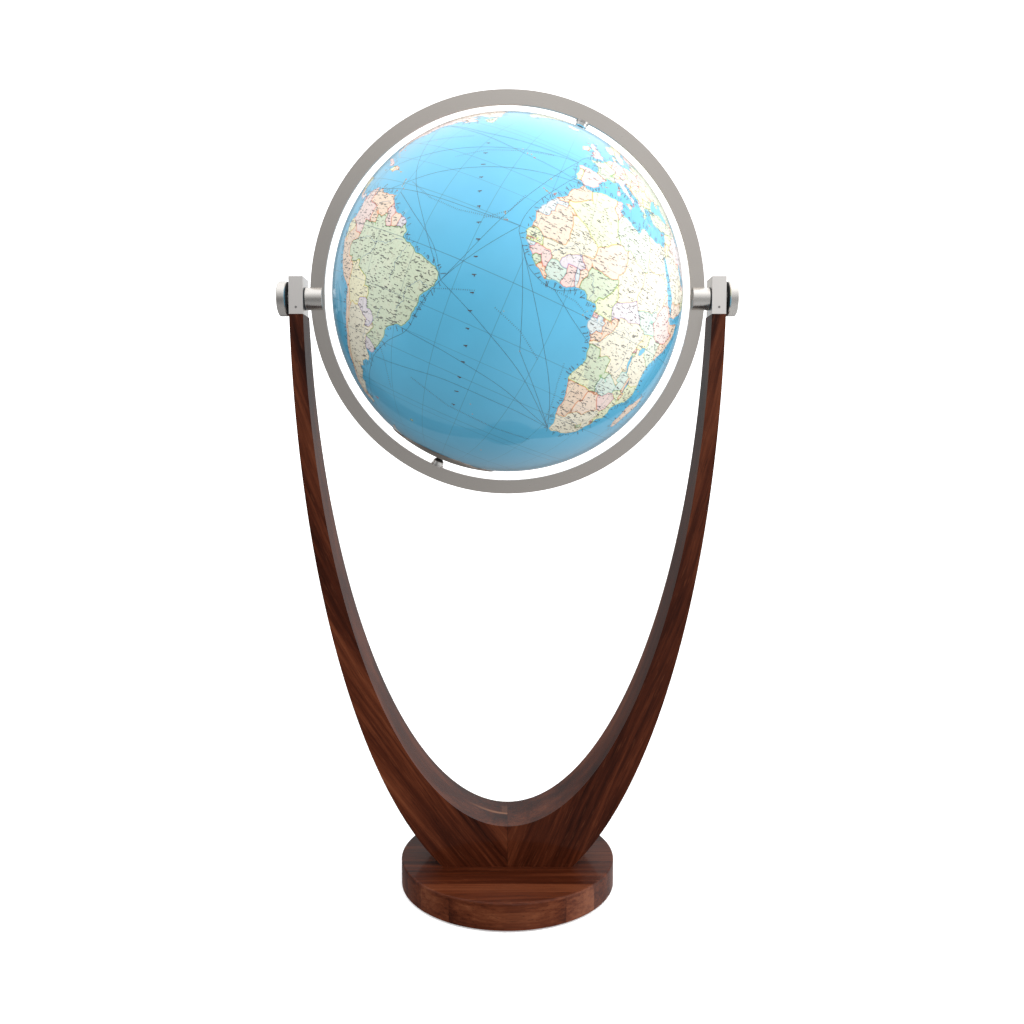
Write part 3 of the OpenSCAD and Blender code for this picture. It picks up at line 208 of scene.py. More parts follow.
BORDERS = """
-2.2 35.3, -1.2 32.3, -3 31.7, -5.2 29.9, -8.7 28.7, -8.7 27.3, -4.8 25, 1.2 21.1, 4.2 19.1; -13.4 27.7,
-8.7 27.7; -8.7 27.3, -8.7 26, -12 26, -12 23.4, -13 23, -13.1 21.3, -17.3 21; -4.8 25, -6.5 25, -5.5 15.5,
-9.4 15.4, -10.9 15.1, -12.2 14.8, -13.5 16, -14.5 16.6, -16.8 16.1; -12.2 14.8, -11.4 12.4, -13.7 12.6,
-17 12.3; -13.7 12.6, -13.7 11.7, -15.2 10.7; -17 13.5, -13.8 13.6, -13.8 13.3, -17 13.1; -11.4 12.4,
-9 12.3, -8 11, -8 10.2, -8.4 7.6, -9.4 7.4, -10.3 8.5, -11 10, -12.5 9.9, -13.5 8.9; -10.3 8.5, -11.6 6.7;
-8.4 7.6, -8.4 6.5, -7.5 5.8, -7.5 4.2; -8 10.2, -6.2 10.6, -5.5 10.4, -4.7 9.7, -2.8 9.6, -2.5 8.2,
-3.2 6.3, -3.1 4.9; -5.5 10.4, -5.3 11.8, -4 13.3, -2 14.2, -.3 15, .2 15, 3.5 15.4, 4.2 16.4, 4.2 19.1;
.2 15, .9 13.5, 2.4 11.9; -2.8 9.6, -2.8 11, 0 11.1, .9 11, 2.4 11.9; 0 11.1, .5 8, 1.2 5.9; .9 11, 1.4 9.5,
1.7 6; 2.4 11.9, 3.6 11.7, 3.8 10.5, 2.8 9, 2.7 6.1; 3.6 11.7, 4.1 13.5, 6.8 13.1, 9 12.8, 12.5 13.1,
13.6 13.7, 14.1 13.1; 4.2 19.1, 7.5 20.8, 12 23.5, 14.2 22.6, 15 23, 15.5 21, 15.5 16.9, 13.6 15, 13.6 13.7;
12 23.5, 9.9 26.3, 9.9 28, 9.5 30.2, 9 32.1, 7.5 33.8, 8.3 35, 8.6 37.1; 9.5 30.2, 10.3 31.7, 11.6 33.4;
15 23, 16 23.4, 24 19.5, 24 20, 25 20, 25 22, 25 29.2, 25 31.9; 25 22, 31.4 22, 37.1 22; 34.9 29.6,
34.1 31.5; 24 19.5, 24 15.7, 22.5 12, 22.9 11, 19 9, 15.5 7.5, 15.3 9.9, 14.1 13.1, 13.7 11.5, 12.2 8.4,
11 6.6, 9.2 6.4, 8.5 4.5; 15.5 7.5, 14.6 5.5, 16.1 2.2, 16.6 3.5, 18.6 3.5, 18.6 4.3, 22.4 4.1, 25 5,
27.4 5, 24.2 8.7, 22.9 11; 24.2 8.7, 28 9.5, 31 9.8, 33 12, 34.1 10.6, 34.1 8.5, 33 7.8, 35.3 5.5, 36 4.4;
27.4 5, 30.8 3.5, 34 4.2, 36 4.4; 9.6 2.3, 11.3 2.2, 13.3 2.2, 16.1 1.9, 16.1 2.2; 11.3 2.2, 11.3 1, 9.3 1;
13.3 2.2, 13.2 1.2, 14.4 .9, 13.9 -.2, 14.4 -1.9, 12.5 -2, 11.8 -3.2, 11 -4; 18.6 3.5, 17.7 -.5, 16.2 -2.2,
15.2 -4.3, 13.1 -4.6, 11.9 -5.6; 12.2 -6, 16.6 -5.9, 17.5 -8.1, 19.5 -7, 20.5 -7, 21.8 -7.3, 22.3 -11.1,
24 -10.9, 24 -13, 22 -13, 22 -16.2, 23.4 -17.6, 25.2 -17.8; 11.6 -17.2, 14 -17.4, 18.5 -17.4, 21 -18,
23.4 -17.6; 25.2 -17.8, 23.5 -18.3, 21 -18.3, 21 -22, 20 -22, 20 -24.8, 20 -28.4, 17.4 -28.8, 16.2 -28.5;
20 -24.8, 20.7 -26.8, 22.7 -25.4, 25.5 -25.7, 26.8 -23.8, 29.4 -22.2, 27.8 -21, 26.2 -19.6, 25.2 -17.8,
27 -17.9, 28.8 -16, 30.4 -15.8, 33 -16.9, 32.9 -18.5, 32.5 -21.2, 31.3 -22.4, 29.4 -22.2; 31.3 -22.4,
31.9 -24.2, 32 -26, 32.1 -26.8, 33.1 -26.9; 27 -29.7, 28.6 -28.7, 29.4 -29.6, 28.2 -30.6, 27 -29.7;
31 -26.8, 31.4 -25.8, 32.1 -26.3, 31.9 -27.2, 31 -26.8; 30.4 -15.8, 30.2 -14.9, 33.2 -14, 33.3 -12.4,
33.3 -9.5, 32.9 -9.4, 31 -8.6; 24 -10.9, 25.4 -11.3, 27 -12, 29.8 -13.4, 29.8 -12.2, 28.4 -11.8, 28.6 -9.2,
28.7 -8.5, 30.8 -8.3; 33.2 -14, 34.5 -14.6, 34.3 -16, 35.3 -17.1, 35.8 -16, 35.8 -14.6, 35 -14; 34.5 -11.6,
37.5 -11.7, 40.6 -10.5; 33.3 -9.5, 34.1 -9.7; 34.1 -1, 37.7 -3.5, 39.5 -4.8; 30.5 -1, 31.9 -1; 33.7 .1,
34.6 1.2, 34 4.2; 29.6 -1.4, 29.9 .5, 31.3 2.2, 30.8 3.5; 30.5 -1, 29.6 -1.4, 28.9 -2.7, 29.3 -4; 30.5 -1,
30.8 -2.4, 30.4 -3.5, 29.4 -4.5; 28.9 -2.7, 30.8 -2.4; 38.8 18.1, 37 17, 36.5 14.3, 35 11.8, 34.1 10.6;
36.5 14.3, 40 14.5, 42.5 12.3, 43.3 12.7; 36 4.4, 38.1 3.6, 41.9 3.9, 41 2.9, 41 -.9, 41.8 -1.9; 41.9 3.9,
45 5, 48 8, 44 9, 42.8 10.9, 41.8 11, 42.5 12.3; 42.8 10.9, 43.4 11.4; -77.2 8.7, -77.9 7.1; -71.2 12,
-72.7 10.5, -72.4 7.5, -70 7, -67.5 6.2, -67.8 2.8, -66.9 1.2, -69.8 1.7, -69.4 -1, -70 -4.2, -70 -2.7,
-73 -2.3, -75.3 -.1, -76.5 .3, -79 1.5; -75.3 -.1, -75.5 -1.5, -78.3 -3.5, -79 -5, -80.5 -3.4; -66.9 1.2,
-64 1.5, -64.6 4.1, -62.7 3.7, -60.7 5.2, -61.3 6, -60.3 7.5, -59.7 8.6; -60.7 5.2, -59.9 4, -59.9 2.7,
-58.5 1.3, -56.5 1.9, -54.6 2.3, -52.6 2.2, -51.5 4.5; -56.5 1.9, -58 4, -57.1 6.2; -54.6 2.3, -54.4 4.5,
-54 6; -70 -4.2, -73 -5, -73.8 -7.3, -72.7 -9.5, -70.6 -9.6, -70.6 -11, -69.6 -10.9, -68.8 -12.5, -69.2 -15,
-69.5 -17.5, -70.6 -18.4; -69.6 -10.9, -68 -10.7, -65.4 -9.7, -65.3 -11.5, -63 -12.7, -60.5 -13.7,
-60.2 -16.2, -58.4 -16.3, -57.8 -17.8, -58.1 -19.9, -59.1 -19.3, -62 -20, -62.7 -22.2, -64.4 -22.5,
-66.3 -21.8, -67.2 -22.8, -68.2 -21.3, -69.5 -17.5; -67.2 -22.8, -68.5 -25, -68.5 -27, -70 -30, -70 -33,
-71 -36.5, -71.4 -39, -71.8 -42, -71.7 -44.5, -72 -47, -73.4 -49.5, -72.3 -51.5, -68.3 -52.4; -68.6 -52.6,
-68.6 -55.2; -58.1 -19.9, -57.8 -22.1, -55.8 -22.3, -54.3 -24, -54.6 -25.6, -56 -27.3, -58.6 -27.3,
-57.6 -25.4, -60 -24, -62.7 -22.2; -54.6 -25.6, -53.7 -26.5, -55 -27.7, -57.6 -30.2, -58.2 -32.5,
-58.4 -34.3; -57.6 -30.2, -55.6 -30.9, -53.4 -32.7, -53.3 -34.1; -8.9 41.9, -8.2 42, -6.6 41.9, -7 39.7,
-7.3 38.3, -7.4 37; -1.9 43.5, 1.5 42.6, 3.3 42.4; 7.6 43.6, 7 44.8, 7 46, 9 45.9, 10.4 46.7, 13.6 46.5,
13.7 45.5; 7 46, 6.1 46.2, 7.5 47.6, 9.6 47.5, 10.4 46.7; 2.4 51.2, 5.8 49.5, 8.2 49, 7.5 47.6; 3.2 51.5,
5.8 51.2, 6.1 50.8, 5.8 49.5; 6.1 50.8, 6.8 52, 7.1 53.6; 8.6 54.9, 9.9 54.8; 14.2 54, 14.7 52, 14.9 51,
12.2 50.3, 13.8 48.8, 13 47.6, 9.6 47.5; 14.9 51, 17 50.3, 18.8 49.5, 16.9 48.6, 13.8 48.8; 16.9 48.6,
16.2 47, 16.5 46.5, 13.6 46.5; 18.8 49.5, 22.5 49, 22.6 48.1, 16.9 48.6; 22.6 48.1, 21 46.2, 18.8 45.9,
16.5 46.5; 16.5 46.5, 15.7 45.2, 16.5 44, 18.5 42.6; 18.8 45.9, 19 44.9, 19.4 42.8, 20.3 42, 19.3 41.9;
20.3 42, 21 40.8, 19.9 39.7; 20.3 42, 22.5 42.2, 22.9 41.3, 21 40.8; 22.9 41.3, 26.3 41.7, 26.1 40.6;
26.3 41.7, 28 42; 21 46.2, 22.7 44.3, 22.5 42.2; 22.7 44.3, 27 44.1, 28.6 43.7; 22.6 48.1, 26.6 48.3,
28.2 45.5, 29.7 45.3; 26.6 48.3, 30 46.3; 22.5 49, 24 50.8, 23.6 51.6, 23.5 54, 19.6 54.5; 23.6 51.6,
31.8 52.1, 34.3 51.2, 40 49.5, 38.3 47.5; 23.5 54, 26.6 55.6, 28.2 56.2, 31 54.5, 31.8 52.1; 20.9 55.2,
23.5 54; 21 56.2, 26.6 55.6; 28.2 56.2, 27.5 57.5, 24.2 57.9; 27.5 57.5, 28.2 59.8; 27.8 60.4, 31.5 62.9,
29.5 68, 29 69.7, 31 70.6; 24.2 65.9, 23.8 67.8, 20.6 69.1, 25.8 69.6, 29 69.7; 20.6 69.1, 16 67, 12.2 61.5,
11.5 58.7; 41.4 41.5, 43.5 41, 44.8 39.7, 44.3 37.2, 42.4 37.1, 36.7 36.6, 36 36; 41.6 42.7, 46.5 41.8,
48.6 41.9; 43.5 41, 46.5 41.8; 44.8 39.7, 48.8 38.4; 42.4 37.1, 41.2 34.5, 38.8 33.4, 35.8 33.2, 35 33.1;
35.8 33.2, 35.5 31.5, 34.9 29.4; 38.8 33.4, 39.2 32, 37 31.5, 37.5 30, 36 29.2, 34.9 29.4; 39.2 32,
44.7 29.2, 47.7 30.1; 44.7 29.2, 46.5 29.1, 48.3 28.5; 44.3 37.2, 45.8 34, 47.7 31, 48.4 29.9; 51.4 24.5,
52 23, 55.1 22.7, 56 24.3, 56.3 25.2; 55.1 22.7, 55 20, 52 19, 47 17, 43.3 17.3, 42.7 16.4; 52 19,
53.1 16.6; 53.9 37.3, 57 38.2, 61.2 36.6, 60.5 34, 61.7 31.2, 61.6 25; 61.7 31.2, 60.9 29.8, 66.3 29.9,
69.5 33, 71.5 36.5, 74.5 37.2; 61.2 36.6, 64.6 37, 67.8 37.2, 70.5 38.2, 71.5 36.5; 48 46, 47 48, 46.8 50,
51 51.7, 58.5 51, 61.5 53.5, 69 55.3, 77 54, 83 51, 87.4 49.2, 91 50.6, 98 50.6, 102 51.4, 107 50,
116.5 49.8, 120 53, 125.5 53, 130.9 48, 134.7 48.3, 131.2 44.9, 130.6 42.3; 87.4 49.2, 91 45.2, 96 42.7,
105 41.6, 111.8 45, 119.8 46.7, 116.5 49.8; 130.6 42.4, 128 42, 124.3 39.9; 126.6 37.8, 128.5 38.6; 56 45,
56 41.3, 58.5 42.5, 61 41.2, 67.8 37.2; 56 45, 61 44.4, 66 42.5, 70.5 42, 80 42.2, 80.5 45, 83 47,
87.4 49.2; 52.5 41.8, 56 41.3; 70.5 42, 71 40.2, 73.8 39.5, 80 42.2; 71 40.2, 67.8 39.5, 67.8 37.2;
73.8 39.5, 74.5 37.2, 78 35.5, 79 32.5, 81 30.3, 86 28, 88.8 28, 92 27.9, 97.3 28.3, 98.7 24, 101.8 21.2,
105.3 23.3, 108 21.5; 68 23.7, 71 24.5, 70 28, 74.5 31, 74 34, 78 35.5; 81 30.3, 80 28.8, 84 27.3,
88.1 26.4, 88.8 28; 88.1 26.4, 88.5 24, 88.9 21.6; 88.1 26.4, 89.8 25.9, 92 25, 92.2 20.7; 92 25, 92.5 23.5,
93.3 22, 95 26, 97.3 28.3; 89 26.9, 92 26.9; 101.8 21.2, 100.1 20.4, 97.5 18.5, 98.5 15, 99.5 11.7, 98.6 10;
100.1 20.4, 101.2 17.5, 104.7 16.5, 105.5 14.4, 102.5 13.6, 102.9 11.8; 101.8 21.2, 104.5 19, 107.5 15.5,
107.5 12.3, 104.4 10.4; 105.5 14.4, 107.5 14.4; 100.1 6.6, 102.1 6.1; 109.6 2, 112 1.4, 115 4.9; 115 1.3,
117.6 4.2; 141 -2.5, 141 -9.2; -123.3 49, -95.2 49, -89.5 48, -84.4 46.6, -82.5 45.3, -82.4 42, -79 42.9,
-76.5 44, -74.8 45, -71.5 45, -69.2 47.4, -67.8 47, -67.2 44.8; -141 69.8, -141 60.3, -135 59.6, -130 55.8,
-130.3 54.6; -117.2 32.5, -111 31.3, -106.5 31.8, -103.2 29, -101.4 29.8, -99.5 27.5, -97.1 25.9;
-92.3 14.5, -90.5 16, -91 17.3, -89.2 17.8, -88.2 18.3; -89.2 17.8, -89 15.8; -89.3 14.4, -88.4 15.8;
-90.1 13.7, -89.3 14.4, -87.7 13.4; -87.5 13, -85 14.5, -83.1 15; -85.8 11.1, -83.6 11; -82.9 8.2,
-82.6 9.6; -71.7 19.9, -71.8 17.9; -103 60, -60 60
"""

# Countries: a point inside, and the map tint it's printed in
TINTS = {
    "green": (.60, .78, .52), "mint": (.74, .88, .74), "lime": (.86, .92, .62), "yellow": (.95, .92, .60),
    "cream": (.93, .89, .74), "salmon": (.95, .76, .62), "orange": (.95, .70, .48), "pink": (.93, .68, .70),
    "lilac": (.82, .76, .88), "teal": (.66, .86, .82), "blue": (.74, .84, .90), "white": (.93, .94, .94),
}
COUNTRIES = """
orange -6 32; blue -13 25; salmon -10 19; cream -2 18; lime 3 28; pink 9.3 34.5; mint 18 27; cream 29 26;
salmon 9 17; cream 18.5 14; lime -14.5 14.7; pink -11 11; blue -14.5 12.1; green -11.8 8.5; orange -9.3 6.3;
teal -5.5 7.7; lilac -1.5 12.3; pink -1.2 8; blue .9 8.5; salmon 2.2 9.5; green 8 9.5; lime 12.5 5;
pink 10.5 1.6; lilac 20.5 6.7; cream 30 15; teal 30.5 7; salmon 38.7 16; pink 39.5 8.5; teal 42.5 11.6;
orange 46.5 6.5; mint 38 .5; yellow 32.4 1.8; pink 29.9 -2; green 29.9 -3.3; blue 11.8 -.7; orange 15.3 .4;
cream 23.5 -3; green 17.5 -12.5; cream 34.5 -6.2; teal 26 -14.5; orange 33.6 -13.2; lime 38 -14;
lime 34 -22.5; pink 29.7 -19; orange 17 -22; salmon 24 -22; cream 23 -31; green 28.2 -29.7; pink 31.5 -26.5;
orange 46.5 -20; lime 15.5 -15; pink -15.3 13.4; orange -66 7; pink -74 4; yellow -78.4 -1.5;
orange -75 -9.5; pink -58.8 5.5; salmon -56 4; lilac -53 3.8; green -52 -10; yellow -64.5 -17;
lilac -58.5 -23.3; lilac -56 -32.8; cream -65.5 -35; orange -71 -31; cream -67.8 -53.8; orange -70 -53.3;
lime -8 39.5; pink -3.5 40; green 2.5 47; lilac 12.5 43; yellow 8 46.9; pink 10.5 51; lime 4.6 50.8;
orange 5.6 52.3; yellow 9 56; mint 14.3 47.4; salmon 19.3 52; lime 15.3 49.8; pink 19.5 48.8;
cream 19.5 47.2; orange 15 45.6; lime 17.8 44.4; cream 20.8 44; pink 20 40.9; salmon 21.6 41.5;
mint 22 39.3; yellow 25.4 42.7; lime 25 46; orange 28.5 47.2; yellow 31.5 49; pink 28 53.5; mint 23.8 55.4;
orange 25 56.9; lime 26 58.8; green 37 56; pink 27 64; yellow 15.5 62; lime 9 61.5; pink -1.5 52.5;
orange -8 53; yellow -19 65; green 33.8 39; orange 43.8 42.1; pink 44.8 40.3; lime 47.8 40.6;
yellow 38.3 35; pink 43.5 33; orange 35.1 32; lime 36.8 30.7; cream 45.5 24; pink 54 23.7; lime 56.8 21.5;
salmon 47 15.7; lilac 54 32; orange 47.6 29.2; lime 65.5 33.7; green 69 29.5; pink 79 22; yellow 84 28.2;
orange 81 7.3; lime 90.3 24; mint 90.4 27.3; lilac 67 48; yellow 59.5 39.7; lime 64 41.5; orange 75 41.3;
pink 71 38.8; pink 103.5 47; yellow 105 34; lime 127 40.3; salmon 127.7 37; green 96 21; orange 101.5 15.5;
lilac 103.8 18.3; pink 105 12.8; lime 108 14.2; yellow 102.3 4; yellow 114 3; salmon 114 0; salmon 102 -1;
salmon 110 -7.5; salmon 121 -2; salmon 138 -4; lime 144 -5.5; green 121 17; green 125 8; pink 121 23.8;
pink 138 36; pink 142.7 43.4; pink 131 32.5; orange 134 -25; lime 175 -39; lime 170 -44; orange 146.5 -42;
pink -100 40; salmon -105 55; salmon -95 64; salmon -70 55; pink -152 65; lime -102 24; orange -90.3 15;
pink -88.7 17.2; lilac -88.9 13.7; yellow -86.8 14.8; lime -85 12.8; orange -84 10; lilac -80 8.4;
pink -79 21.8; lime -72.7 19; orange -70.5 19; mint -42 72; white 60 -80; mint 49 -19
"""
# Rivers, one line each
RIVERS = """
-50 -.5, -54 -2, -58 -3.2, -62 -3.5, -66 -3, -70 -4, -73.5 -4.5, -75 -9; -60 -3.2, -63 -8, -66 -12;
-48 -1.5, -49.5 -6, -50 -12; -62 8.8, -66 7.8, -67.5 4; -36.5 -10.4, -40 -9, -43.5 -12, -45.5 -19;
-58.3 -34, -59.5 -31, -58.5 -27.3, -54.6 -25.5, -51 -20; 31 31.4, 31.2 27, 33 24, 31 19, 33.5 17, 32.5 13,
31 9, 31.5 4, 32 1; 32.5 15.6, 35 12.5, 37.4 11.6; 12.4 -6, 16 -3, 18 1, 22 2, 25.5 .5, 26.5 -5, 26 -10;
6.2 4.4, 6.5 8, 4.5 11, 1.5 14, -3 16.8, -5.5 14.5, -9 11; 36 -18.8, 31.5 -15.8, 27.5 -17, 23.5 -17.5,
23 -13; 16.5 -28.6, 20 -28.6, 24.5 -29, 28 -29.8; -16.4 16, -13 15.5, -11.5 13; 2 41, -1 41.8, -3.5 42.8;
29.5 45.2, 26 43.8, 22 44.5, 19 46, 16 48.2, 10 48.5; 4 52, 7 50.5, 8 48.5; 46 44, 45 48.5, 48 52, 44 56.2
"""
# Rows of strokes over the sea: the strokes' height in degrees, then the row's line
CURRENTS = """
.3: -58 16, -48 13, -38 12.5, -28 14, -24 15.5; .3: -8 3, -3 2.8, 3 2.6, 7 1; .3: -36 -8, -36.5 -14,
-39 -20; .3: -36 -10, -30 -8, -24 -6; .3: 8 -14, 9.5 -20, 12.5 -27, 14 -32; .3: -50 28, -42 34, -30 39,
-20 42; .3: -22 24, -24 18, -30 13; .3: -36 -37, -20 -41, 0 -42, 16 -41; .8: -44 37, -36 22, -29 8, -24 -8,
-20 -24, -18 -40; .3: -52 -28, -48 -36, -46 -44; .3: -17 -8, -8 -11, 0 -16; .3: -72 30, -62 34, -52 38;
.3: 60 -20, 75 -18, 90 -16; .8: 60 5, 75 -10, 85 -28; .3: 150 25, 170 28, 188 30; .8: -150 30, -140 5,
-135 -25; .3: -120 10, -100 7, -88 4
"""
# Printed shipping routes: longitude and latitude along each line
ROUTES = """
-5.5 36, -9.5 36.5, -13 32, -18.5 22, -19.5 15, -17 10.5, -4 -7, 8 -22, 17.5 -34, 18.5 -35.5; -19.5 15,
-28 3, -34 -7, -37.5 -15, -40 -23.3, -47 -29, -54 -35.5; -10 44, -17 33, -24 18, -30 2, -34 -7; -10 44,
-30 43, -50 41, -71 40.5; -10 44, -35 38, -60 27, -75 18, -79 9.8; -5.8 36, -30 38, -55 40, -71 40.5;
-5.8 36, -30 31, -50 22, -66 12, -79 9.8; -19.5 15, -35 14, -60 13, -79 9.8; 17.5 -34, 0 -33, -25 -33,
-54 -35.5; 17.5 -34, -5 -28, -25 -25, -42.5 -23.4; 17.5 -34, -2 -22, -20 -13, -34 -7; -5.7 -16, 5 -25,
17.5 -34; -5.7 -16, -11 -3, -17 10.5; 3 6, -4 3, -12 5, -17 10.5; 12 -6, 4 -2, -4 3; -34 -7, -40 1, -52 8,
-60 12; -34 -7, -45 5, -60 20, -74 39; -54 -35.5, -61 -46, -66 -56; -6 49, -10 44, -9.5 36.5
"""



# ---- The map on the ball -------------------------------------------------------------------
HOLE = math.degrees(.01 / BALL_R)       # the pole hubs' radius as an angle
WEST, EAST = SEAM_W, SEAM_W + 360
NORTH, SOUTH = 90 - HOLE, HOLE - 90
BAND = .42                              # the tinted band along a border, in degrees
PRINT_SHIFT = 1.7                       # how far the print sits up the front, in degrees
SNAP = .005                             # a border ends at a drawn line this near, in metres
ICE_EDGE = -78.5                        # the latitude at which the Antarctic shore meets the seam
RIM_ROWS, RIM_COLUMNS = 73, 61          # points along the sheet's seam and along a pole hole
GRID_STEP, GRID_AROUND = 2.4, 150       # filling points: degrees between rows, points round the equator


def numbers(text):
    """A list of (longitude, latitude) from 'lon lat, lon lat, ...'."""
    return [tuple(float(v) for v in pair.split()) for pair in text.split(",")]


def wrap(points):
    """The same points with longitudes inside the sheet, for a line that doesn't cross the seam."""
    turn = 360 if sum(p[0] for p in points) / len(points) < WEST else 0
    return [(lon + turn, lat) for lon, lat in points]


def roughen(points, rng, closed, step=.75, rough=.13):
    """Fractal wiggles along a line: midpoints are pushed sideways until the pieces are short."""
    out = []
    count = len(points) if closed else len(points) - 1
    for i in range(count):
        line = [points[i], points[(i + 1) % len(points)]]
        while True:
            a, b = line[:2]
            if math.hypot((b[0] - a[0]) * math.cos(math.radians(a[1])), b[1] - a[1]) < step:
                break
            finer = []
            for a, b in zip(line, line[1:]):
                push = rng.uniform(-rough, rough)
                middle = (a[0] + b[0]) / 2 - push * (b[1] - a[1]), (a[1] + b[1]) / 2 + push * (b[0] - a[0])
                finer += [a, middle]
            line = finer + [line[-1]]
        out += line[:-1]
    return out if closed else out + [points[-1]]


def clipped(points, margin=.02):
    """The same points, kept just inside the sheet."""
    return [(min(max(lon, WEST + margin), EAST - margin), min(max(lat, SOUTH + margin), NORTH - margin))
            for lon, lat in points]


def on_ball(lon, lat, radius=BALL_R):
    """Points of the ball in the row frame. The print sits a touch high on the side that faces the front."""
    lon, lat = np.asarray(lon, float), np.asarray(lat, float)
    around = np.radians(lon - SPIN_AT)
    up = np.radians(lat + PRINT_SHIFT * np.cos(around) * np.cos(np.radians(lat)) ** 2)
    front = np.array((0, -1, 0)) - POLE * np.dot((0, -1, 0), POLE)
    front /= np.linalg.norm(front)
    side = np.cross(POLE, front)
    way = (np.cos(up) * np.cos(around))[:, None] * front + (np.cos(up) * np.sin(around))[:, None] * side
    return CENTRE + radius * (way + np.sin(up)[:, None] * POLE)


def inside(point, rings):
    """How many of the rings the point is in."""
    x, y = point
    hits = 0
    for ring, low, high in rings:
        if not (low[0] <= x <= high[0] and low[1] <= y <= high[1]):
            continue
        odd = False
        for (ax, ay), (bx, by) in zip(ring, ring[1:] + ring[:1]):
            if (ay > y) != (by > y) and x < (bx - ax) * (y - ay) / (by - ay) + ax:
                odd = not odd
        hits += odd
    return hits


def map_lines():
    """Closed coasts and open borders, wiggled and cut to the sheet."""
    rng = random.Random(11)
    coasts = [clipped(roughen(wrap(numbers(t)), rng, True)) for t in (EURAFRICA, AMERICAS, *RINGS.split(";"))]
    for lon, lat, size in numbers(ISLETS):
        turn = rng.uniform(0, 6)
        ring = [(lon + size * rng.uniform(.6, 1.1) * math.cos(turn + k * 1.047) / math.cos(math.radians(lat)),
                 lat + size * rng.uniform(.45, .8) * math.sin(turn + k * 1.047)) for k in range(6)]
        coasts.append(clipped(wrap(ring)))
    ice = clipped(roughen(numbers(ANTARCTICA), rng, False, 1.2))
    borders = [clipped(roughen(wrap(numbers(t)), rng, False, .9, .1)) for t in BORDERS.split(";")]
    # a border's loose ends are joined to the nearest drawn point, so that no country leaks into the next
    every = [(p, line) for line in coasts + borders for p in line]
    tree = kdtree.KDTree(len(every))
    for i, p in enumerate(on_ball(*np.array([p for p, _ in every]).T)):
        tree.insert(p, i)
    tree.balance()
    joined = []
    for line in borders:
        ends = []
        for p in (line[0], line[-1]):
            near = on_ball([p[0]], [p[1]])[0]
            found = [every[i] for _, i, d in tree.find_range(near, SNAP)]
            found = [q for q, other in found if other is not line]
            ends.append(min(found, key=lambda q: (q[0] - p[0]) ** 2 + (q[1] - p[1]) ** 2) if found else p)
        joined.append([ends[0], *line, ends[1]])
    return coasts, ice, joined


def build_sheet():
    """Triangles of the whole map in degrees, cut along every coast and border."""
    coasts, ice, borders = map_lines()
    lats = np.linspace(SOUTH, NORTH, RIM_ROWS)
    shore = lats[np.argmin(abs(lats - ICE_EDGE))]
    ice = [(WEST, shore), *ice[1:-1], (EAST, shore)]
    points, edges = [], []

    def add(line, closed):
        first = len(points)
        points.extend(Vector(p) for p in line)
        edges.extend((first + i, first + i + 1) for i in range(len(line) - 1))
        if closed:
            edges.append((first + len(line) - 1, first))

    for ring in coasts:
        add(ring, True)
    for line in borders + [ice]:
        add(line, False)
    drawn = np.array(points)
    middles = np.array([(points[a] + points[b]) / 2 for a, b in edges])
    along = np.array([points[b] - points[a] for a, b in edges])
    wide = np.cos(np.radians(middles[:, 1]))
    length = np.hypot(along[:, 0] * wide, along[:, 1]) + 1e-9
    away = np.stack((-along[:, 1] / wide / length, along[:, 0] * wide / length), 1) * BAND
    tree = kdtree.KDTree(len(drawn))
    for i, p in enumerate(on_ball(drawn[:, 0], drawn[:, 1])):
        tree.insert(p, i)
    tree.balance()

    def gap(flat):
        """Degrees from each point to the nearest drawn line's points."""
        return np.array([math.degrees(tree.find(p)[2] / BALL_R) for p in on_ball(flat[:, 0], flat[:, 1])])

    beside = np.concatenate((middles + away, middles - away))
    across, up = beside.T
    beside = beside[(across > WEST + .1) & (across < EAST - .1) & (abs(up) < NORTH - .1)]
    beside = beside[gap(beside) > BAND * .8]
    grid = []
    for k, lat in enumerate(np.arange(-87, 87.1, GRID_STEP)):
        n = max(18, int(GRID_AROUND * math.cos(math.radians(lat))))
        grid += [(WEST + (i + .5 * (k % 2) + .25) * 360 / n, lat) for i in range(n)]
    grid = np.array([g for g in grid if g[0] < EAST - .3 and abs(g[1]) < NORTH - .5])
    grid = grid[gap(grid) > BAND * 1.7]
    for p in np.concatenate((beside, grid)):
        points.append(Vector(p))
    # the sheet's own rim: both sides of the seam at the same latitudes, and the rims of the pole holes
    lons = np.linspace(WEST, EAST, RIM_COLUMNS)
    rim = [(EAST, v) for v in lats] + [(v, NORTH) for v in np.linspace(EAST, WEST, RIM_COLUMNS)[1:]]
    rim += [(WEST, v) for v in lats[::-1][1:]] + [(v, SOUTH) for v in lons[1:-1]]
    add([Vector(p) for p in rim], True)
    made = geometry.delaunay_2d_cdt(points, edges, [], 0, 1e-5, True)
    flat = np.array([tuple(v) for v in made[0]])
    cuts = {tuple(sorted(e)) for e, src in zip(made[1], made[4]) if src}
    faces = np.array([f for f in made[2] if len(f) == 3])
    rings = [(r, np.min(r, 0), np.max(r, 0)) for r in coasts]
    below = [*ice, (EAST, -91), (WEST, -91)]
    rings.append((below, np.min(below, 0), np.max(below, 0)))
    return flat, faces, cuts, rings, gap


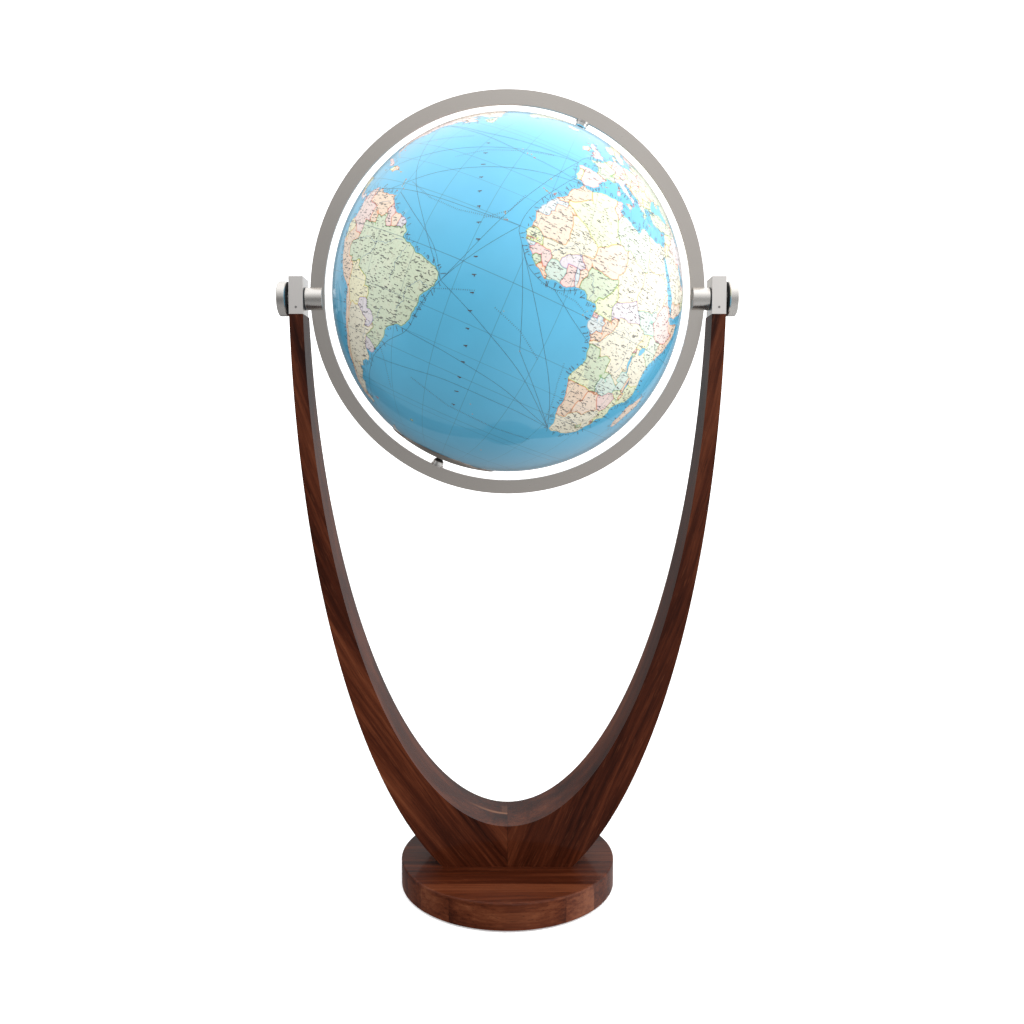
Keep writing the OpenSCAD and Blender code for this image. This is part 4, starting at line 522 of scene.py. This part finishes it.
def regions(faces, cuts):
    """A region number per face: faces that touch across an uncut edge share it."""
    owner = {}
    for i, f in enumerate(faces):
        for a, b in ((0, 1), (1, 2), (2, 0)):
            owner.setdefault(tuple(sorted((f[a], f[b]))), []).append(i)
    label = -np.ones(len(faces), int)
    touching = [[] for _ in faces]
    for edge, pair in owner.items():
        if len(pair) == 2 and edge not in cuts:
            touching[pair[0]].append(pair[1])
            touching[pair[1]].append(pair[0])
    n = 0
    for start in range(len(faces)):
        if label[start] >= 0:
            continue
        label[start], todo = n, [start]
        while todo:
            for other in touching[todo.pop()]:
                if label[other] < 0:
                    label[other] = n
                    todo.append(other)
        n += 1
    return label, n


def linear(rgb):
    """A screen colour as the linear values that Blender works in."""
    return [c / 12.92 if c <= .04045 else ((c + .055) / 1.055) ** 2.4 for c in rgb]


def make_globe():
    """The printed ball, and what the marks need: its sheet, which faces are land, their areas and the coasts."""
    flat, faces, cuts, rings, gap = build_sheet()
    label, n = regions(faces, cuts)
    middle = flat[faces].mean(1)
    a, b, c = (flat[faces[:, k]] for k in range(3))
    area = abs((b - a)[:, 0] * (c - a)[:, 1] - (b - a)[:, 1] * (c - a)[:, 0])
    seeds = [(name, float(lon), float(lat)) for name, lon, lat in (t.split() for t in COUNTRIES.split(";"))]
    tints = {k: linear(v) for k, v in TINTS.items()}
    tint = np.zeros((len(faces), 4))
    members = [[] for _ in range(n)]
    for i, k in enumerate(label):
        members[k].append(i)
    where = {}
    for name, lon, lat in seeds:
        lon += 360 if lon < WEST else 0
        near = np.argmin(np.hypot((middle[:, 0] - lon) * math.cos(math.radians(lat)), middle[:, 1] - lat))
        where.setdefault(label[near], []).append((name, lon, lat))
    rest = ["cream", "salmon", "lime", "pink", "yellow", "green"]
    for k in range(n):
        idx = np.array(members[k])
        big = idx[np.argmax(area[idx])]
        if inside(tuple(middle[big]), rings) % 2 == 0:
            continue
        named = where.get(k, [])
        if named:
            for i in idx:
                name = min(named, key=lambda s: (s[1] - middle[i][0]) ** 2 + (s[2] - middle[i][1]) ** 2)[0]
                tint[i] = (*tints[name], 1)
        else:
            tint[idx] = (*tints[rest[k % 6]], 1)
    # the seam's two sides and the pole holes' rims become shared points
    place = on_ball(flat[:, 0], flat[:, 1])
    twin = np.arange(len(flat))
    left = {round(p[1], 3): i for i, p in enumerate(flat) if abs(p[0] - WEST) < 1e-4}
    for i, p in enumerate(flat):
        if abs(p[0] - EAST) < 1e-4:
            twin[i] = left[round(p[1], 3)]
    keep, index = np.unique(twin, return_inverse=True)
    mesh = bpy.data.meshes.new("globe_map")
    mesh.from_pydata(place[keep].tolist(), [], index[faces].tolist())
    uv = mesh.uv_layers.new(name="lonlat")
    uv.data.foreach_set("uv", (flat[faces].reshape(-1, 2) / (360, 180) + (.5, .5)).astype(np.float32).ravel())
    colour = mesh.attributes.new("tint", "FLOAT_COLOR", "CORNER")
    colour.data.foreach_set("color", np.repeat(tint, 3, 0).astype(np.float32).ravel())
    line = mesh.attributes.new("line", "FLOAT", "POINT")
    line.data.foreach_set("value", np.clip(1 - gap(flat)[keep] / BAND, 0, 1).astype(np.float32))
    mesh.update()
    mesh.polygons.foreach_set("use_smooth", np.ones(len(mesh.polygons), bool))
    normal = place[keep] - CENTRE
    mesh.normals_split_custom_set_from_vertices((normal / np.linalg.norm(normal, axis=1)[:, None]).tolist())
    ball = bpy.data.objects.new("globe_map", mesh)
    bpy.context.scene.collection.objects.link(ball)
    first = mesh.polygons[0]
    if first.normal.dot(first.center - Vector(CENTRE)) < 0:
        mesh.flip_normals()
    return ball, flat, faces, tint[:, 3] > 0, area, rings
# ---- Colours and sizes of the looks --------------------------------------------------------
DARK, MIDDLE, LIGHT, PALE = (.016, .0026, .0009), (.050, .0098, .0034), (.098, .0235, .0088), (.170, .052, .022)
SAPWOOD = (.34, .15, .08)
SEA = (.10, .47, .72)
ARM_TOP = .672                          # where the arms' grain starts, in metres above the floor
OTHER_PLANK = .731                      # moves the right arm's grain to another part of the plank
BOARD_W, BOARD_FROM = .0282, .5045      # the base's boards: width, and offset of the first joint
LAND_NAMES = 7600                       # rows of strokes over the land
SMALL_ISLAND = 7                        # a coast that spans fewer degrees gets no names
MARK_LIFT = .00005                      # how far the strokes lie over the print, in metres


class Net:
    """A material with a short way of wiring its nodes. Numbers, vectors and sockets are all taken as inputs."""

    def __init__(self, name, **fixed):
        self.mat = bpy.data.materials.new(name)
        self.mat.use_nodes = True
        self.tree = self.mat.node_tree
        self.bsdf = self.tree.nodes["Principled BSDF"]
        for key, value in fixed.items():
            self.set(key.replace("_", " "), value)

    def set(self, name, value):
        self.give(self.bsdf.inputs[name], value)

    def give(self, socket, value):
        if isinstance(value, bpy.types.NodeSocket):
            self.tree.links.new(value, socket)
        elif value is not None:
            if socket.type == "RGBA" and len(value) == 3:
                value = (*value, 1)
            socket.default_value = value

    def node(self, kind, values=(), out=0, **props):
        made = self.tree.nodes.new("ShaderNode" + kind)
        for key, value in props.items():
            setattr(made, key, value)
        for key, value in (values.items() if isinstance(values, dict) else enumerate(values)):
            self.give(made.inputs[key], value)
        return made.outputs[out]

    def math(self, op, *values):
        return self.node("Math", values, operation=op)

    def add(self, first, *rest):
        for value in rest:
            first = self.math("ADD", first, value)
        return first

    def sub(self, a, b):
        return self.math("SUBTRACT", a, b)

    def mul(self, a, b):
        return self.math("MULTIPLY", a, b)

    def size(self, value):
        return self.math("ABSOLUTE", value)

    def xyz(self, vector):
        return [self.node("SeparateXYZ", [vector], out=i) for i in range(3)]

    def vec(self, x=0.0, y=0.0, z=0.0):
        return self.node("CombineXYZ", [x, y, z])

    def noise(self, vector, scale, detail=3, rough=.5):
        if isinstance(scale, tuple):
            vector, scale = self.node("VectorMath", [vector, scale], operation="MULTIPLY"), 1
        return self.node("TexNoise", {"Vector": vector, "Scale": scale, "Detail": detail, "Roughness": rough})

    def cell(self, *values):
        return self.node("TexWhiteNoise", {"Vector": self.vec(*values)}, noise_dimensions="3D")

    def step(self, value, low, high, to=(0, 1)):
        return self.node("MapRange", [value, low, high, *to], interpolation_type="SMOOTHSTEP")

    def mix(self, part, a, b):
        made = self.tree.nodes.new("ShaderNodeMix")
        made.data_type = "RGBA"
        self.give(made.inputs[0], part)
        self.give(made.inputs[6], a)
        self.give(made.inputs[7], b)
        return made.outputs[2]

    def ramp(self, value, *stops):
        made = self.tree.nodes.new("ShaderNodeValToRGB")
        self.give(made.inputs[0], value)
        band = made.color_ramp
        while len(band.elements) < len(stops):
            band.elements.new(.5)
        for spot, (at, colour) in zip(band.elements, stops):
            spot.position, spot.color = at, (*colour, 1)
        return made.outputs[0]

    def bump(self, height, strength, distance):
        made = self.node("Bump", {"Height": height, "Strength": strength, "Distance": distance})
        self.set("Normal", made)


def walnut(name, arms):
    """Oiled and lacquered walnut: two mirrored arms, or the base's glued boards."""
    net = Net(name, Coat_Weight=.14, Coat_Roughness=.09, Specular_IOR_Level=.05)
    x, y, z = net.xyz(net.node("TexCoord", out=3))
    if arms:
        # the grain follows each arm down, a little steeper than the arm's own curve
        right, left = net.math("GREATER_THAN", x, 0), net.math("LESS_THAN", x, 0)
        down = net.sub(ARM_TOP, z)
        bow = net.add(net.mul(right, -.27), .49)
        lean = net.add(net.mul(down, .21), net.mul(net.mul(down, down), bow))
        grain = net.vec(net.add(net.size(x), lean, net.mul(right, OTHER_PLANK)), y, down)
        # painted shade: the arms' colour is darkened towards the feet, where they meet the base
        shift = net.step(down, .52, .60, (0, -.045))
        edge = net.step(net.size(x), .0001, .0005, (.45, 0))
    else:
        along = net.math("DIVIDE", net.add(y, BOARD_FROM), BOARD_W)
        row = net.math("FLOOR", along)
        board = net.cell(row, 5.0, 2.0)
        grain = net.vec(net.add(y, net.mul(row, .37)), z, net.add(x, net.mul(board, 3)))
        # each board's tone differs a little at random; painted light: the base below its rounded top edge is made
        # lighter than its top
        shift = net.add(net.mul(net.sub(board, .5), .07), net.step(z, .026, .0285, (.05, 0)))
        edge = net.step(net.size(net.sub(net.math("FRACT", along), .5)), .487, .498, (0, .35))
    bend = net.noise(grain, (9, 9, 3.2), 2, .5)
    sway = net.node("VectorMath", [grain, net.vec(net.mul(bend, .03))], operation="ADD")
    broad = net.noise(sway, (30, 22, 1.7), 3, .55)
    streak = net.noise(sway, (210, 290, 3.4), 4, .62)
    pores = net.noise(sway, (1500, 1100, 26), 2, .6)
    fleck = net.noise(grain, (420, 300, 60), 2, .5)
    tone = net.add(net.mul(broad, .62), net.mul(streak, .38), shift)
    colour = net.ramp(tone, (.35, DARK), (.47, MIDDLE), (.57, LIGHT), (.70, PALE))
    colour = net.mix(net.step(pores, .56, .70, (0, .55)), colour, tuple(c * .35 for c in DARK))
    colour = net.mix(net.step(fleck, .58, .75, (0, .22)), colour, PALE)
    if arms:
        # a vein of sapwood and a lighter patch beside the seam, on the left arm's upper face
        vein = net.step(net.size(net.add(y, net.mul(x, .12))), .0008, .0040, (.55, 0))
        vein = net.mul(net.mul(vein, left), net.step(x, -.052, -.012, (0, 1)))
        patch = net.step(net.size(net.sub(y, .012)), .006, .016, (.14, 0))
        patch = net.mul(net.mul(patch, left), net.step(x, -.008, -.006, (0, 1)))
        colour = net.mix(net.math("MAXIMUM", vein, patch), colour, SAPWOOD)
    net.set("Base Color", net.mix(edge, colour, tuple(c * .3 for c in DARK)))
    net.set("Roughness", net.add(net.mul(streak, .12), .30))
    net.bump(net.sub(net.mul(fleck, .3), net.step(pores, .56, .7)), .16, .0003)
    return net.mat


def brushed(name, colour, rough, way, tone=.1, **more):
    """Brushed or turned steel: fine scratches along one direction, or round an axis."""
    net = Net(name, Metallic=1, **more)
    point = net.node("TexCoord", out=3)
    x, y, z = net.xyz(point)
    up = net.sub(z, PIVOT_Z)
    if way == "up":
        lines = net.node("VectorMath", [point, (1, 1, .012)], operation="MULTIPLY")
    else:
        # round the ring's axis (Y) or the pivots' axis (X), with far longer scratches round than across
        flat, axis, squash = (x, y, .004) if way == "ring" else (y, x, .0006)
        radius = net.math("SQRT", net.add(net.mul(flat, flat), net.mul(up, up)))
        lines = net.vec(radius, net.mul(net.math("ARCTAN2", up, flat), squash), axis)
    fine = net.noise(lines, 5200, 3, .65)
    coarse = net.noise(lines, 900, 2, .6)
    cloud = net.noise(point, 14, 3, .5)
    mixed = net.add(net.mul(fine, .6), net.mul(coarse, .4))
    shade = net.add(net.mul(mixed, tone * 2), net.mul(cloud, tone))
    net.set("Base Color", net.mix(shade, colour, tuple(c * .45 for c in colour)))
    net.set("Roughness", net.add(net.mul(mixed, .16), rough - .08))
    net.bump(mixed, .10, .00006)
    return net.mat


def plain(name, colour, rough, grain, amount=.2, bump=.2, **more):
    """Plastic, fibre, felt, brass and other small parts: mottled at the scale of the stuff itself."""
    net = Net(name, **more)
    point = net.node("TexCoord", out=3)
    fine, cloud = net.noise(point, grain, 4, .6), net.noise(point, grain / 30, 3, .5)
    part = net.add(net.mul(fine, amount), net.mul(cloud, amount))
    net.set("Base Color", net.mix(part, tuple(min(1, c * 1.25) for c in colour), tuple(c * .6 for c in colour)))
    net.set("Roughness", net.add(net.mul(fine, .18), rough - .09))
    net.bump(fine, bump, .0002)
    return net.mat


def printed_map():
    """The printed gores under their clear varnish: land tints, borders, sea and the net of degrees."""
    net = Net("map_print", Coat_Weight=1, Coat_Roughness=.035, Specular_IOR_Level=.35)
    tint = net.tree.nodes.new("ShaderNodeAttribute")
    tint.attribute_name = "tint"
    near = net.node("Attribute", attribute_name="line", out=2)
    land = net.math("GREATER_THAN", tint.outputs["Alpha"], .5)
    uv = net.tree.nodes.new("ShaderNodeUVMap")
    uv.uv_map = "lonlat"
    u, v, _ = net.xyz(uv.outputs[0])
    lon = net.mul(net.sub(u, .5), 360)
    lat = net.mul(net.sub(v, .5), 180)
    point = net.node("TexCoord", out=3)
    ground = net.noise(point, 90, 5, .62)
    hills = net.noise(point, 420, 4, .6)
    # land: a pale tint, stronger in a band along its border, with brownish hill shading
    strong = net.node("Gamma", [tint.outputs["Color"], 1.7])
    pale = net.mix(.6, tint.outputs["Color"], (.86, .85, .76))
    field = net.mix(net.step(near, .3, .72, (0, .85)), pale, strong)
    field = net.mix(net.step(hills, .52, .72, (0, .42)), field, (.36, .27, .18))
    field = net.mix(net.step(ground, .45, .7, (0, .22)), field, (.86, .80, .62))
    sea = net.mix(net.step(net.noise(point, 16, 3, .5), .35, .65), SEA, tuple(c * 1.06 for c in SEA))
    sea = net.mix(net.step(near, .1, .9, (0, .35)), sea, (.30, .62, .78))
    colour = net.mix(land, sea, field)
    line = net.step(near, .84, .98, (0, .6))
    colour = net.mix(line, colour, net.mix(land, (.03, .10, .17), (.22, .09, .07)))

    for angle, gap, width in ((lon, 15, .07), (lat, 15, .07), (lat, 23.44, .05)):
        part = net.math("FRACT", net.add(net.math("DIVIDE", angle, gap), .5))
        off = net.mul(net.size(net.sub(part, .5)), gap)
        colour = net.mix(net.step(off, width, width * 1.9, (.42, 0)), colour, (.05, .13, .18))
    net.set("Base Color", colour)
    net.set("Roughness", net.add(net.mul(hills, .1), .42))
    return net.mat


def lines_on_ball(name, lines, width, lift, smooth=True):
    """Thin printed lines as ribbons that lie on the ball, each a smooth curve through its points."""
    verts, faces = [], []
    for pts in lines:
        knots = on_ball([p[0] for p in pts], [p[1] for p in pts], 1) - CENTRE
        run = list(knots)
        if smooth:
            run, padded = [], [knots[0], *knots, knots[-1]]
            for k in range(1, len(padded) - 2):
                a, b, c, d = padded[k - 1:k + 3]
                for t in np.linspace(0, 1, 12, endpoint=False):
                    run.append(.5 * (2 * b + (c - a) * t + (2 * a - 5 * b + 4 * c - d) * t * t
                                     + (3 * b - a - 3 * c + d) * t ** 3))
            run.append(knots[-1])
        run = np.array([p / np.linalg.norm(p) for p in run])
        side = np.cross(run, np.gradient(run, axis=0))
        side /= np.linalg.norm(side, axis=1)[:, None]
        first, n = len(verts), len(run)
        for sign in (1, -1):
            verts += [tuple(CENTRE + p * (BALL_R + lift) + sign * w * width / 2) for p, w in zip(run, side)]
        faces += [(first + i, first + n + i, first + n + i + 1, first + i + 1) for i in range(n - 1)]
    return flat_piece(name, verts, faces)


def flat_piece(name, verts, faces):
    """A mesh object whose faces look away from the ball's centre."""
    mesh = bpy.data.meshes.new(name)
    mesh.from_pydata(verts, [], faces)
    mesh.update()
    if mesh.polygons[0].normal.dot(mesh.polygons[0].center - Vector(CENTRE)) < 0:
        mesh.flip_normals()
    made = bpy.data.objects.new(name, mesh)
    bpy.context.scene.collection.objects.link(made)
    return made


def make_marks(flat, faces, dry, area, rings):
    """Small strokes in rows where a printed map has its names: over the land, off the coasts, along the currents."""
    rng = random.Random(5)
    verts, faces_out = [], []

    def stroke(lon, lat, turn, wide, tall):
        c, s = math.cos(turn), math.sin(turn)
        squeeze = max(.2, math.cos(math.radians(lat)))
        corners = [(lon + (x * c - y * s) / squeeze, lat + x * s + y * c)
                   for x, y in ((0, -tall / 2), (wide, -tall / 2), (wide, tall / 2), (0, tall / 2))]
        if max(abs(p[1]) for p in corners) > 84:
            return
        faces_out.append(tuple(range(len(verts), len(verts) + 4)))
        verts.extend(map(tuple, on_ball([p[0] for p in corners], [p[1] for p in corners], BALL_R + MARK_LIFT)))

    def word(lon, lat, turn, letters, tall, gap=.62):
        for _ in range(letters):
            stroke(lon, lat + rng.uniform(-.1, .1) * tall, turn, tall * rng.uniform(.3, .55),
                   tall * rng.choice((.65, .8, 1.1)))
            lon += tall * gap * math.cos(turn) / max(.2, math.cos(math.radians(lat)))
            lat += tall * gap * math.sin(turn)

    centres = flat[faces].mean(1)
    weight = np.where(dry & (abs(centres[:, 1]) < 75), area * np.cos(np.radians(centres[:, 1])), 0)
    sums = np.cumsum(weight)
    for _ in range(LAND_NAMES):
        f = int(np.searchsorted(sums, rng.random() * sums[-1]))
        a, b = sorted((rng.random(), rng.random()))
        p = flat[faces[f][0]] * a + flat[faces[f][1]] * (b - a) + flat[faces[f][2]] * (1 - b)
        word(p[0] - .5, p[1], rng.choice((0, 0, 0, rng.uniform(-.7, .9))), rng.randint(3, 8),
             rng.choice((.19, .23, .3)))
    for ring, low, high in rings[:-1]:
        if max(high - low) < SMALL_ISLAND:
            continue
        pts = np.array(ring)
        after = np.roll(pts, -1, 0)
        ahead = after - pts
        turning = np.sum(pts[:, 0] * after[:, 1] - after[:, 0] * pts[:, 1])
        k = 0
        while k < len(pts):
            out = np.array((ahead[k][1], -ahead[k][0])) * (1 if turning > 0 else -1)
            angle = math.atan2(out[1], out[0]) + rng.uniform(-.25, .25)
            at = pts[k] + .45 * np.array((math.cos(angle), math.sin(angle)))
            word(at[0], at[1], angle, rng.randint(4, 11), .26, .6)
            k += rng.randint(1, 4)
    for text in CURRENTS.split(";"):
        tall, row = text.split(":")
        tall, pts = float(tall), np.array(numbers(row))
        steps = np.hypot(*np.diff(pts, axis=0).T)
        total, spot = steps.sum(), 0
        while spot < total:
            k = int(np.searchsorted(np.cumsum(steps), spot))
            into = (spot - steps[:k].sum()) / steps[k]
            p, way = pts[k] + (pts[k + 1] - pts[k]) * into, pts[k + 1] - pts[k]
            turn = math.atan2(way[1], way[0])
            for _ in range(3 if tall > .5 else 1):
                stroke(p[0] + rng.uniform(0, tall * .5), p[1], turn + rng.choice((0, 1.57)),
                       tall * rng.uniform(.4, .8), tall * .2)
            stroke(p[0], p[1], turn, tall * .35, tall * 1.3)
            spot += tall * (2.1 if tall < .5 else 6)
    return flat_piece("map_marks", verts, faces_out)


# ---- Pieces --------------------------------------------------------------------------------
ball, *sheet_data = make_globe()
ball.data.materials.append(printed_map())
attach(ball, "globe")
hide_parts("northern_hemisphere", "southern_hemisphere")
varnish = {"Coat_Weight": 1, "Coat_Roughness": .035}
ink = plain("route_ink", (.03, .075, .11), .4, 900, **varnish)
black = plain("label_ink", (.06, .057, .062), .4, 1500, **varnish)
water = plain("river_ink", (.06, .17, .34), .4, 900, **varnish)
bends = random.Random(3)
routes = [numbers(t) for t in ROUTES.split(";")]
rivers = [roughen(numbers(t), bends, False, .7, .2) for t in RIVERS.split(";")]
for piece, look in ((lines_on_ball("sea_routes", routes, .00036, .00004), ink),
                    (lines_on_ball("rivers", rivers, .0003, .00003, False), water),
                    (make_marks(*sheet_data), black)):
    piece.data.materials.append(look)
    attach(piece, "globe")

LOOKS = {
    "base_felt": plain("felt", (.03, .028, .027), .95, 2600, .5, .9),
    "base_plate": walnut("walnut_boards", False),
    "left_arm left right_arm": walnut("walnut_arms", True),
    "meridian_ring": brushed("ring_steel", (.76, .71, .66), .30, "ring"),
    "left_pivot_block right_pivot_block": brushed("block_steel", (.93, .895, .865), .30, "up"),
    "left_clevis right_clevis left_knob right_knob left_spacer_washer right_spacer_washer": brushed(
        "turned_steel", (.70, .675, .645), .27, "turned"),
    "north_pin south_pin north_pin_washer south_pin_washer": brushed("pin_steel", (.62, .6, .58), .24, "up"),
    "north_pin_nut south_pin_nut": brushed("nut_steel", (.78, .77, .75), .14, "up", .05),
    # painted shade: the south cap is the ring's steel, its colour darkened for its place under the ball
    "south_cap": brushed("cap_steel", (.30, .265, .235), .33, "up"),
    "left_bush right_bush north_hub south_hub": plain("black_plastic", (.02, .02, .021), .4, 1500),
    "left_friction_disc right_friction_disc": plain("black_fibre", (.014, .013, .013), .75, 2400, .5, .6),
    "foot_insert": plain("insert_brass", (.62, .44, .18), .3, 900, Metallic=1),
    "seam_dowel": plain("dowel_beech", (.55, .36, .2), .6, 700),
    "equator_band": plain("ball_plastic", (.8, .8, .78), .5, 500),
    "axis_tube": brushed("tube_aluminium", (.78, .78, .79), .3, "up"),
}
OTHER = brushed("fastener_steel", (.45, .44, .43), .3, "up")
for node, piece in nodes.items():
    kind = node[:11] if node.startswith("foot_insert") else node[:10] if node.startswith("seam_dowel") else node
    found = [look for names, look in LOOKS.items() if kind in names.split()]
    piece.data.materials.clear()
    piece.data.materials.append(found[0] if found else OTHER)

EASED = {"left_arm": .0011, "right_arm": .0011, "left_pivot_block": .0005, "right_pivot_block": .0005,
         "meridian_ring": .0005, "left_clevis": .0004, "right_clevis": .0004}
for node, width in EASED.items():
    soft = nodes[node].modifiers.new("eased_edges", "BEVEL")
    soft.width, soft.segments, soft.limit_method, soft.angle_limit = width, 3, "ANGLE", math.radians(35)
    soft.harden_normals = True

# ---- Room, light and camera ----------------------------------------------------------------
def glow(name, strength):
    """Plain pale paint that also gives off light."""
    return Net(name, Base_Color=(.93, .93, .93), Roughness=.9, Emission_Color=(1, 1, 1), Emission_Strength=strength).mat


def backing(name, corners, faces, mat):
    """A plain surface that only the camera sees: the studio's own light comes from the sky and the boxes."""
    mesh = bpy.data.meshes.new(name)
    mesh.from_pydata(corners, [], faces)
    made = bpy.data.objects.new(name, mesh)
    bpy.context.scene.collection.objects.link(made)
    mesh.materials.append(mat)
    made.visible_glossy = made.visible_diffuse = made.visible_shadow = False


WALL_R, WALL_H, WALL_SIDES = 7.0, 9.0, 48
turns = [math.tau * k / WALL_SIDES for k in range(WALL_SIDES)]
rim = [(WALL_R * math.cos(a), WALL_R * math.sin(a)) for a in turns]
backing("floor", [(x, y, 0) for x, y in rim], [tuple(range(WALL_SIDES))], glow("floor_white", .30))
backing("wall", [(x, y, z) for z in (0, WALL_H) for x, y in rim],
        [(k, (k + 1) % WALL_SIDES, WALL_SIDES + (k + 1) % WALL_SIDES, WALL_SIDES + k) for k in range(WALL_SIDES)],
        glow("wall_white", 1.0))
world = bpy.data.worlds.new("studio")
bpy.context.scene.world = world
world.use_nodes = True
sky = Net.__new__(Net)
sky.tree = world.node_tree
toward_x, _, toward_z = sky.xyz(sky.node("TexCoord", out=0))
# soft steps of light: the low wall, the floor, the ceiling, a window on the right, the right half, the left
panels = [sky.step(toward_z, -.08, .3, (0, .42)), sky.step(toward_z, -.85, -.35, (.16, 0)),
          sky.step(toward_z, .30, .95, (0, .85)), sky.step(toward_x, .72, .97, (0, 1.5)),
          sky.step(toward_x, -.35, .35, (0, .34)), sky.step(sky.mul(toward_x, -1.0), .9, .99, (0, .7))]
background = world.node_tree.nodes["Background"]
background.inputs[0].default_value = (1, 1, 1, 1)
world.node_tree.links.new(sky.add(.22, *panels), background.inputs[1])


def softbox(name, at, look, wide, high, watts):
    """A large soft lamp that doesn't show in the shiny parts."""
    lamp = bpy.data.lights.new(name, "AREA")
    lamp.shape, lamp.size, lamp.size_y, lamp.energy = "RECTANGLE", wide, high, watts
    made = bpy.data.objects.new(name, lamp)
    bpy.context.scene.collection.objects.link(made)
    made.location = at
    made.rotation_euler = (Vector(look) - Vector(at)).to_track_quat("-Z", "Y").to_euler()
    made.visible_glossy = False


softbox("right_box", (1.7, -.55, 1.15), (0, 0, .65), .9, 1.6, 9)
softbox("left_box", (-1.9, -.6, 1.0), (0, 0, .6), .8, 1.6, 4)
softbox("top_box", (0, -.6, 2.6), (0, 0, .6), 2.4, 1.4, 14)
softbox("low_box", (0, -2.6, .12), (0, 0, .62), 2.4, .4, 7)
softbox("front_box", (.2, -3.4, 1.3), (0, 0, .55), 2.2, 1.6, 14)

camera = bpy.data.objects.new("camera", bpy.data.cameras.new("camera"))
bpy.context.scene.collection.objects.link(camera)
camera.location = (0, -1.079, .5186)
camera.rotation_euler = (math.radians(90 - 3.96), 0, 0)
camera.data.sensor_width = 36
camera.data.lens = 32.283
camera.data.shift_x = .0044
camera.data.clip_start = .01
bpy.context.scene.camera = camera
bpy.context.scene.view_settings.view_transform = "Standard"
